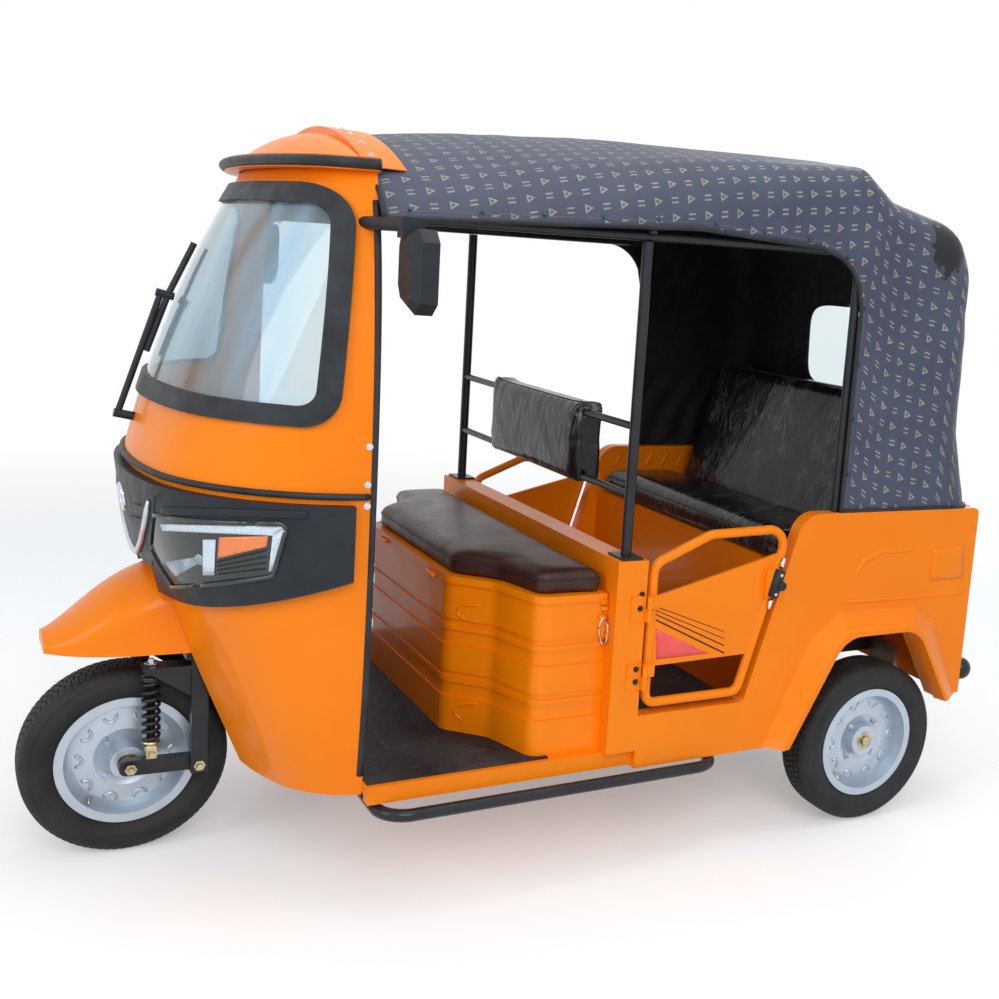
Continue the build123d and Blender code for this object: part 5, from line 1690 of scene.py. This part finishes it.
def makeTrims():
    cowl = treeOf("cowl_lower", "cowl_upper")
    form = Form()
    form.add(*tubeOf(ringPath(cowl, trims["beadLevel"], 0.004, cowlRear + 0.12), trims["beadRadius"], 10))
    for side in (1, -1):
        path = []
        for k in range(48):
            level = trims["edgeLow"] + (trims["edgeHigh"] - trims["edgeLow"]) * k / 47
            place, _ = cast(cowl, (cowlRear + 0.0015, side * 2, level), (0, -side, 0))
            if place is not None:
                path.append(place + Vector((0.004, -side * 0.004, 0)))
        form.add(*tubeOf(path, trims["edgeRadius"], 8, 1.0, up=(0, 1, 0)))
    visor = [(x, y, trims["visorLevel"]) for x, y in brimPath(roofCap, 0.0015)]
    form.add(*tubeOf(visor, trims["visorRadius"], 12, 1.0))
    form.make("cowlTrims", "chassis", "rubber_seal", finishes["rubber_seal"])
    bolts = [onPhoto(cowl, pixel) for pixel in trims["bolts"]]
    bolts += [onPhoto(cowl, pixel) for pixel in trims["screws"]]
    bolts = [(p + Vector((trims["screwAhead"], 0, 0)), n) for p, n in bolts if p is not None]
    bolts += [(Vector((p.x, -p.y, p.z)), Vector((n.x, -n.y, n.z))) for p, n in bolts]
    fasten("cowlScrews", bolts, "chassis", satinLook, 0.0052, 0.006, 0.0082, 10)


makeTrims()
print("trims: bead, edges, visor and screws")

# Fork: coil springs on their dampers, clevises and pivot bolts

springs = {
    "x": (low("shock_absorbers").x + high("shock_absorbers").x) / 2,
    "y": 0.098,
    "foot": low("shock_absorbers").z,
    "top": high("shock_absorbers").z,
    "coilRadius": 0.0190,
    "wire": 0.0046,
    "turns": 7.5,
    "coilLow": 0.050,
    "coilHigh": 0.205,
    "pivotBack": 0.159,
    "pivotLevel": 0.242,
}


def makeSprings(s):
    form = Form()
    for side in (1, -1):
        middle = Vector((s["x"], side * s["y"], s["foot"]))
        height = s["top"] - s["foot"]
        body = [
            (0.0, 0.034), (0.011, 0.034), (0.011, 0.205), (0.0235, 0.206), (0.0245, 0.209),
            (0.0245, 0.216), (0.021, 0.2185)
        ]
        body += [
            (0.015, 0.220), (0.0145, 0.230), (0.0165, 0.2315), (0.0165, height - 0.001),
            (0.0, height - 0.001)
        ]
        form.add(*turned(body, middle, 28, (0, 0, 1), (1, 0, 0)))
        count = int(s["turns"] * 22)
        coil = []
        for k in range(count + 1):
            turn = 2 * math.pi * s["turns"] * k / count
            share = min(max(k / count, 0), 1)
            rise = s["coilLow"] + (s["coilHigh"] - s["coilLow"]) * share
            coil.append(
                middle + Vector(
                    (s["coilRadius"] * math.cos(turn), s["coilRadius"] * math.sin(turn), rise)
                )
            )
        form.add(*tubeOf(coil, s["wire"], 8))
        seat = [
            (0.0, 0.030), (0.014, 0.030), (0.0165, 0.034), (0.0165, 0.038), (0.0225, 0.040),
            (0.0225, 0.046), (0.0, 0.046)
        ]
        form.add(*turned(seat, middle, 28, (0, 0, 1), (1, 0, 0)), 1)
        for ear in (-0.0125, 0.0125):
            lowest = middle + Vector((-0.013, ear - 0.0032, 0.0006))
            form.add(*roundBlock(lowest, lowest + Vector((0.026, 0.0064, 0.034)), 0.002), 1)
    piece = form.make("coilSprings", "fork", "black_steel", finishes["black_steel"], finishes["zinc_steel"])
    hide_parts("shock_absorbers")
    steel = treeOf("fork", "link_arms")
    spots = []
    for side in (1, -1):
        clevis = Vector((s["x"], side * (s["y"] + 0.0158), s["foot"] + 0.014))
        spots.append((clevis, Vector((0, side, 0))))
        for x, z in ((frontAxle.x - s["pivotBack"], s["pivotLevel"]), (frontAxle.x, frontAxle.z)):
            place, normal = cast(steel, (x + 0.003, side * 1.0, z + 0.003), (0, -side, 0))
            if place is not None:
                spots.append((Vector((x, place.y, z)) + normal * 0.003, normal))
    fasten("forkBolts", spots, "fork", finishes["zinc_steel"], 0.0105, 0.010, 0.0145, 6)
    tops = []
    for side in (1, -1):
        place, normal = cast(treeOf("fork"), (s["x"], side * s["y"], 0.60), (0, 0, -1))
        if place is not None and place.z < 0.56:
            tops.append((place + Vector((0, 0, 0.004)), Vector((0, 0, 1))))
    if tops:
        fasten("damperNuts", tops, "fork", satinLook, 0.0085, 0.012, 0.0165, 6)


makeSprings(springs)
print("fork: springs and bolts")

# Doors: striped panel, latch cover with its bolt rod, hinge bolts

doorTrim = {
    "stripes": (
        ((656, 606.5), (724, 631.5)), ((656, 610.5), (724, 638.5)), ((656, 614.5), (724, 645.5)),
        ((656, 620.0), (724, 653.0))
    ),
    "stripeWidth": (0.0012, 0.0012, 0.0018, 0.0024),
    "patch": ((655.8, 628.5), (708, 653.5), (655.8, 659.5)),
    "hingeBolts": ((642, 594.4), (640.2, 608.5), (635.9, 669.2), (635.1, 681.9)),
    "latchLevel": 0.770,
    "latchHalf": 0.040,
}


def paintStripe(name, dark, light):
    return darkFinish(name, dark, light, 0.3, 0.45, 200, 0.05, 0.3)


stripeLook = paintStripe("stripePaint", (0.040, 0.010, 0.006), (0.075, 0.020, 0.010))
patchLook = paintStripe("coralPaint", (0.78, 0.075, 0.070), (0.92, 0.125, 0.110))


def trianglePad(tree, corners, steps, lift):
    a, b, c = (Vector(p) for p in corners)
    outer, inner, faces, index = [], [], [], {}
    for i in range(steps + 1):
        for j in range(steps + 1 - i):
            place, normal = onPhoto(tree, a + (b - a) * i / steps + (c - a) * j / steps)
            index[i, j] = len(outer)
            outer.append(place + normal * lift)
            inner.append(place + normal * 0.0001)
    count = len(outer)
    for i in range(steps):
        for j in range(steps - i):
            faces.append((index[i, j], index[i + 1, j], index[i, j + 1]))
            if i + j < steps - 1:
                faces.append((index[i + 1, j], index[i + 1, j + 1], index[i, j + 1]))
    faces += [tuple(count + k for k in reversed(face)) for face in faces]
    rim = [index[i, 0] for i in range(steps + 1)] + [index[steps - k, k] for k in range(1, steps + 1)]
    rim += [index[0, steps - k] for k in range(1, steps)]
    for p, q in zip(rim, rim[1:] + rim[:1]):
        faces.append((p, q, count + q, count + p))
    return outer + inner, faces


def makeDoors():
    panel = treeOf("door_left")
    stripes = Form()
    for pixels, width in zip(doorTrim["stripes"], doorTrim["stripeWidth"]):
        stripes.add(*tubeOf(photoPath(panel, pixels, 0.0002), width, 6, 0.4, up=(0, 1, 0)))
    stripes.add(*trianglePad(panel, doorTrim["patch"], 6, 0.0008), 1)
    for side, name in ((1, "door_left"), (-1, "door_right")):
        decor = Form()
        decor.points, decor.faces = list(stripes.points), list(stripes.faces)
        decor.marks = list(stripes.marks)
        if side < 0:
            decor.points = flipSide(decor.points)
        decor.make(name + "Stripes", name, "orange_paint", stripeLook, patchLook)
        box = (low(name), high(name))
        rear = box[0].x
        level, half = doorTrim["latchLevel"], doorTrim["latchHalf"]
        face, _ = cast(treeOf(name), (rear + 0.036, side * 2, level), (0, -side, 0))
        out = abs(face.y) if face is not None else box[1].y
        lean = Vector((-0.27, 0, 1)).normalized()
        middle = Vector((rear + 0.040, side * (out + 0.0005), level))
        latch = Form()
        cover = [middle + lean * t for t in (-half, -half + 0.004, half - 0.004, half)]
        latch.add(*tubeOf(cover, [0.013, 0.0165, 0.0165, 0.013], 12, 1.0, up=(0, 1, 0)))
        knob = [(0.0, 0.026), (0.008, 0.026), (0.0125, 0.023), (0.0135, 0.016), (0.012, 0.008), (0.0, 0.008)]
        latch.add(*turned(knob, middle + Vector((-0.008, 0, -0.004)), 24, (0, side, 0), (0, 0, 1)))
        for t in (half + 0.004, -half - 0.034):
            rod = [middle + lean * t, middle + lean * (t + 0.030)]
            latch.add(*tubeOf(rod, 0.0062, 12, up=(0, 1, 0)), 1)
        latch.make(name + "Latch", name, "black_plastic", finishes["black_plastic"], chromeLook)
        spots = [
            (middle + lean * t + Vector((0.003, side * 0.0165, 0)), Vector((0, side, 0)))
            for t in (-0.028, 0.028)
        ]
        fasten(name + "LatchScrews", spots, name, chromeLook, 0.0032, 0.003, 0.0045, 10)
    post = treeOf("bulkhead")
    bolts = [onPhoto(post, pixel) for pixel in doorTrim["hingeBolts"]]
    bolts = [(p + n * 0.001, n) for p, n in bolts if p is not None]
    bolts += [(Vector((p.x, -p.y, p.z)), Vector((n.x, -n.y, n.z))) for p, n in bolts]
    fasten("hingeBolts", bolts, "chassis", finishes["black_steel"], 0.0062, 0.006, 0.0085, 6)


makeDoors()
print("doors: stripes, latches and bolts")

# Rear sides: swage line, square field and soft arc pressed into the panels

sideMarks = {
    "swage": ((818, 603.5), (866, 601.0), (915, 597.0), (962, 592.5)),
    "field": ((933, 549), (965, 545.5), (962.5, 578), (929.5, 580.5)),
    "arc": ((855, 581), (858.5, 570), (865, 561), (874, 555), (886.5, 551.5), (906, 550.3), (926, 549.8)),
    "depth": 0.0035,
    "swageRadius": 0.0075,
    "arcRadius": 0.009,
    # ribs on the inner face of the far side
    "ribs": tuple(((622.5 + 15.4 * k, 451.5), (613 + 15.4 * k, 468)) for k in range(5)),
    "ribRadius": 0.008,
}


def makeSideMarks(m):
    panel = treeOf("rear_side_left")
    form = Form()
    swage = photoPath(panel, m["swage"], -0.004, 8)
    form.add(*tubeOf(swage, [m["swageRadius"] * min(1, 0.3 + 0.12 * i) for i in range(len(swage))], 12, 0.9))
    form.add(*skinPatch(panel, m["field"], 6, 6, -0.001, m["depth"]))
    arc = photoPath(panel, m["arc"], -0.005, 6)
    form.add(*tubeOf(arc, tapered(arc, m["arcRadius"], 0.3, 0.1), 12))
    inside = treeOf("rear_side_right", "bulkhead")
    for pixels in m["ribs"]:
        rib = photoPath(inside, pixels, -0.002, 6)
        if len(rib) > 3:
            form.add(*tubeOf(rib, tapered(rib, m["ribRadius"], 0.4, 0.3), 10))
    form.add(flipSide(form.points), list(form.faces))
    form.make("sideMarks", "chassis", "orange_paint", finishes["orange_paint"])


makeSideMarks(sideMarks)
print("rear sides: pressed marks")

# Seat box: toggle latch and pressed marks

boxTrim = {
    "marks": (
        ((479.5, 605.4), (463, 605.4), (457, 609.7), (457.8, 614.8), (466.7, 621.2), (475.7, 622)),
        ((477, 703.4), (461.6, 704.9), (454, 709.2), (453.5, 713), (461.6, 720.2)),
    ),
    "plate": ((598.5, 614.5), (607.5, 614.5), (608.5, 640.5), (600, 640.5)),
    "loop": (
        (597.2, 626), (598, 634), (600.5, 643), (608, 643.2), (610.2, 634), (610.3, 626), (606.5, 617.5),
        (601.5, 617.5)
    ),
    "hook": ((600.2, 599.5), (606.8, 599.5), (606.8, 604.5), (600.2, 604.5)),
    "keep": ((600.5, 606.5), (607.8, 606.0), (607.0, 610.5), (601.5, 611.0)),
}


def makeBoxTrim():
    box = treeOf("seat_box", "seat_lid", "bulkhead")
    marks = Form()
    for pixels in boxTrim["marks"]:
        bothSides(marks, *tubeOf(photoPath(box, pixels, -0.0008, 4), 0.0034, 8))
    marks.make("boxMarks", "chassis", "orange_paint", finishes["orange_paint"])
    latch = Form()
    bothSides(latch, *skinPatch(box, boxTrim["plate"], 4, 4, 0.0002, 0.0055))
    bothSides(latch, *skinPatch(box, boxTrim["keep"], 2, 3, 0.0002, 0.0065))
    wire = photoPath(box, boxTrim["loop"] + boxTrim["loop"][:1], 0.0075, 3)[:-1]
    if len(wire) > 8:
        bothSides(latch, *tubeOf(wire, 0.0019, 8, closed=True), 1)
    latch.make("boxLatches", "chassis", "orange_paint", finishes["orange_paint"], chromeLook)
    hook = Form()
    bothSides(hook, *skinPatch(box, boxTrim["hook"], 3, 3, 0.0002, 0.0055))
    hook.make("lidHooks", "seat_lid", "orange_paint", finishes["orange_paint"])


makeBoxTrim()
print("seat box: marks, latches and hooks")

# Mirror glass, grips and levers

mirrorShape = {
    "x": low("mirrors").x,
    "y": 0.722,
    "z": 1.552,
    # housing outline: outward, up
    "corners": (
        (-0.044, 0.092), (0.034, 0.092), (0.060, 0.064), (0.060, -0.066), (0.026, -0.092),
        (-0.036, -0.072), (-0.060, -0.034), (-0.060, 0.058)
    ),
    "share": 0.87,
    "round": 0.012,
}


def makeMirrors(m):
    loop = roundedLoop([(a * m["share"], b * m["share"]) for a, b in m["corners"]], m["round"], 4, 0.05)
    glass = Form()
    for side in (1, -1):
        points = [
            Vector((m["x"] - depth, side * (m["y"] + a), m["z"] + b)) for depth in (0.0, 0.0022) for a,
            b in loop
        ]
        count = len(loop)
        faces = [tuple(range(count)), tuple(reversed(range(count, 2 * count)))]
        faces += [(k, (k + 1) % count, count + (k + 1) % count, count + k) for k in range(count)]
        glass.add(points, faces)
    glass.make("mirrorGlass", "chassis", "black_plastic", mirrorLook, smooth=False)


makeMirrors(mirrorShape)


def makeBar():
    lowest, highest = low("handlebar"), high("handlebar")
    end = Vector((lowest.x + 0.0175, highest.y - 0.002, lowest.z + 0.030))
    tree = treeOf("handlebar")
    grips, controls = Form(), Form()
    for side in (1, -1):
        outer, _ = cast(tree, (end.x + 0.014, side * (highest.y - 0.012), 1.5), (0, 0, -1))
        inner, _ = cast(tree, (end.x + 0.042, side * (highest.y - 0.100), 1.5), (0, 0, -1))
        if outer is None or inner is None:
            continue
        tip, root = outer - Vector((0, 0, 0.017)), inner - Vector((0, 0, 0.017))
        path = [root.lerp(tip, k / 24) for k in range(25)]
        grips.add(*tubeOf(path, [0.0176 + 0.0014 * (k % 2) for k in range(25)], 14))
        along = (tip - root).normalized()
        hub = root - along * 0.020
        controls.add(
            *roundBlock(hub - Vector((0.020, 0.016, 0.020)), hub + Vector((0.020, 0.016, 0.020)), 0.006)
        )
        lever = [hub + Vector((0.020, 0, 0.004)), hub + Vector((0.044, side * 0.018, 0.004))]
        lever += [tip + Vector((0.048, -side * t, 0.002)) for t in (0.062, 0.034, 0.010)]
        controls.add(*tubeOf(lever, [0.006, 0.0075, 0.006, 0.0055, 0.0075], 10, 0.7), 1)
    if grips.points:
        grips.make("gripSleeves", "fork", "rubber_seal", finishes["rubber_seal"])
        controls.make(
            "barControls", "fork", "black_plastic", finishes["black_plastic"], finishes["black_steel"]
        )


makeBar()
print("mirrors and bar: glass, grips and levers")

# Canopy back: window border, hem snaps and stitching

canopyTrim = {
    "borderOut": 0.034,
    "power": 5.0,
    "snapStep": 0.155,
    "stitchStep": 0.0085,
    "stitchLong": 0.0055,
    "stitchRadius": 0.0007,
    "stitchUp": 0.016,
}


def windowLoop(half, middle, grow, count=96):
    power = canopyTrim["power"]
    loop = []
    for k in range(count):
        turn = 2 * math.pi * k / count
        a, b = math.cos(turn), math.sin(turn)
        y = (half.y + grow) * math.copysign(abs(a) ** (2 / power), a)
        z = middle.z + (half.z + grow) * math.copysign(abs(b) ** (2 / power), b)
        loop.append((y, z))
    return loop


def makeBorder():
    wall = treeOf("canopy", "rear_window")
    lowest, highest = rearWindowBox()
    middle, half = (lowest + highest) / 2, (highest - lowest) / 2
    rows = []
    for grow, lift in (
        (-0.010, -0.002), (-0.010, 0.0035), (0.012, 0.005), (canopyTrim["borderOut"], 0.0042),
        (canopyTrim["borderOut"], -0.002)
    ):
        row = []
        for y, z in windowLoop(half, middle, grow):
            place, normal = cast(wall, (-3, y, z), (1, 0, 0))
            row.append(place + normal * lift)
        rows.append(row)
    border = Form()
    border.add([p for row in rows for p in row], gridFaces(5, 96, True, True))
    border.make("windowBorder", "chassis", "rubber_seal", finishes["rubber_seal"])


def stitchRun(form, path, t):
    walk, last = 0.0, Vector(path[0])
    for place in path[1:]:
        place = Vector(place)
        step = (place - last).length
        aim = (place - last).normalized()
        while walk < step:
            start = last + aim * walk
            form.add(*tubeOf([start, start + aim * t["stitchLong"]], t["stitchRadius"], 4))
            walk += t["stitchStep"]
        walk -= step
        last = place


def makeStitches():
    tree = meshTree(canopy)
    snaps, form = [], Form()
    threadLook = darkFinish("paleThread", (0.20, 0.19, 0.17), (0.30, 0.29, 0.26), 0.6, 0.8, 900, 0.1)
    tealLook = darkFinish("tealSnap", (0.020, 0.060, 0.085), (0.035, 0.095, 0.125), 0.3, 0.45, 200, 0.05, 0.3)
    for kind, side in (("left", 1), ("right", -1)):
        path = []
        for place in edgePath(kind):
            p = Vector(place)
            p.z += canopyTrim["stitchUp"] if p.x > canopyCut["quarter"] + 0.06 else 0.0
            p.x -= 0.0 if p.x > canopyCut["quarter"] + 0.06 else canopyTrim["stitchUp"]
            hit, normal = cast(tree, (p.x, side * 2, p.z), (0, -side, 0))
            if hit is not None:
                path.append(hit + normal * 0.0006)
        stitchRun(form, path, canopyTrim)
        walk = 0.06
        for start, end in zip(path, path[1:]):
            length = (end - start).length
            if walk < length:
                hit, normal = cast(tree, (start.x, side * 2, start.z + 0.004), (0, -side, 0))
                if hit is not None:
                    snaps.append((hit, normal))
                walk += canopyTrim["snapStep"]
            walk -= length
    form.make("hemStitches", "chassis", "canopy_vinyl", threadLook, smooth=False)
    fasten("hemSnaps", snaps, "chassis", tealLook, 0.0058, 0.0055, 0.0075, 12)


makeBorder()
makeStitches()
print("canopy back: border, snaps and stitches")

# Tail lamps: amber and clear fields with a dark surround

tail = {
    "rear": low("tail_lamps").x,
    "inner": 0.470,
    "outer": 0.560,
    # low and high levels of each field, finish number
    "fields": ((0.612, 0.655, 0), (0.662, 0.728, 1), (0.735, 0.778, 2)),
}


def makeTail(t):
    form = Form()
    redLook = insertFinish("redPrisms", (0.30, 0.010, 0.010), (0.58, 0.030, 0.024), 150.0)
    for side in (1, -1):
        ends = sorted((side * (t["inner"] + 0.010), side * (t["outer"] - 0.010)))
        for lowLevel, highLevel, mark in t["fields"]:
            form.add(
                *roundBlock(
                    (t["rear"] - 0.003, ends[0], lowLevel), (t["rear"] + 0.004, ends[1], highLevel),
                    0.0025
                ),
                mark
            )
        loop = roundedLoop(
            (
                (ends[0] - 0.013, 0.597), (ends[1] + 0.013, 0.597), (ends[1] + 0.013, 0.793),
                (ends[0] - 0.013, 0.793)
            ),
            0.012
        )
        form.add(
            *tubeOf(
                [(low("rear_panel").x - 0.003, y, z) for y, z in loop], 0.005, 8, closed=True,
                up=(1, 0, 0)
            ),
            3
        )
    form.make("tailFields", "chassis", "tail_lens", ledLook, redLook, amberLook, finishes["rubber_seal"])


makeTail(tail)
print("tail lamps: fields and surround")
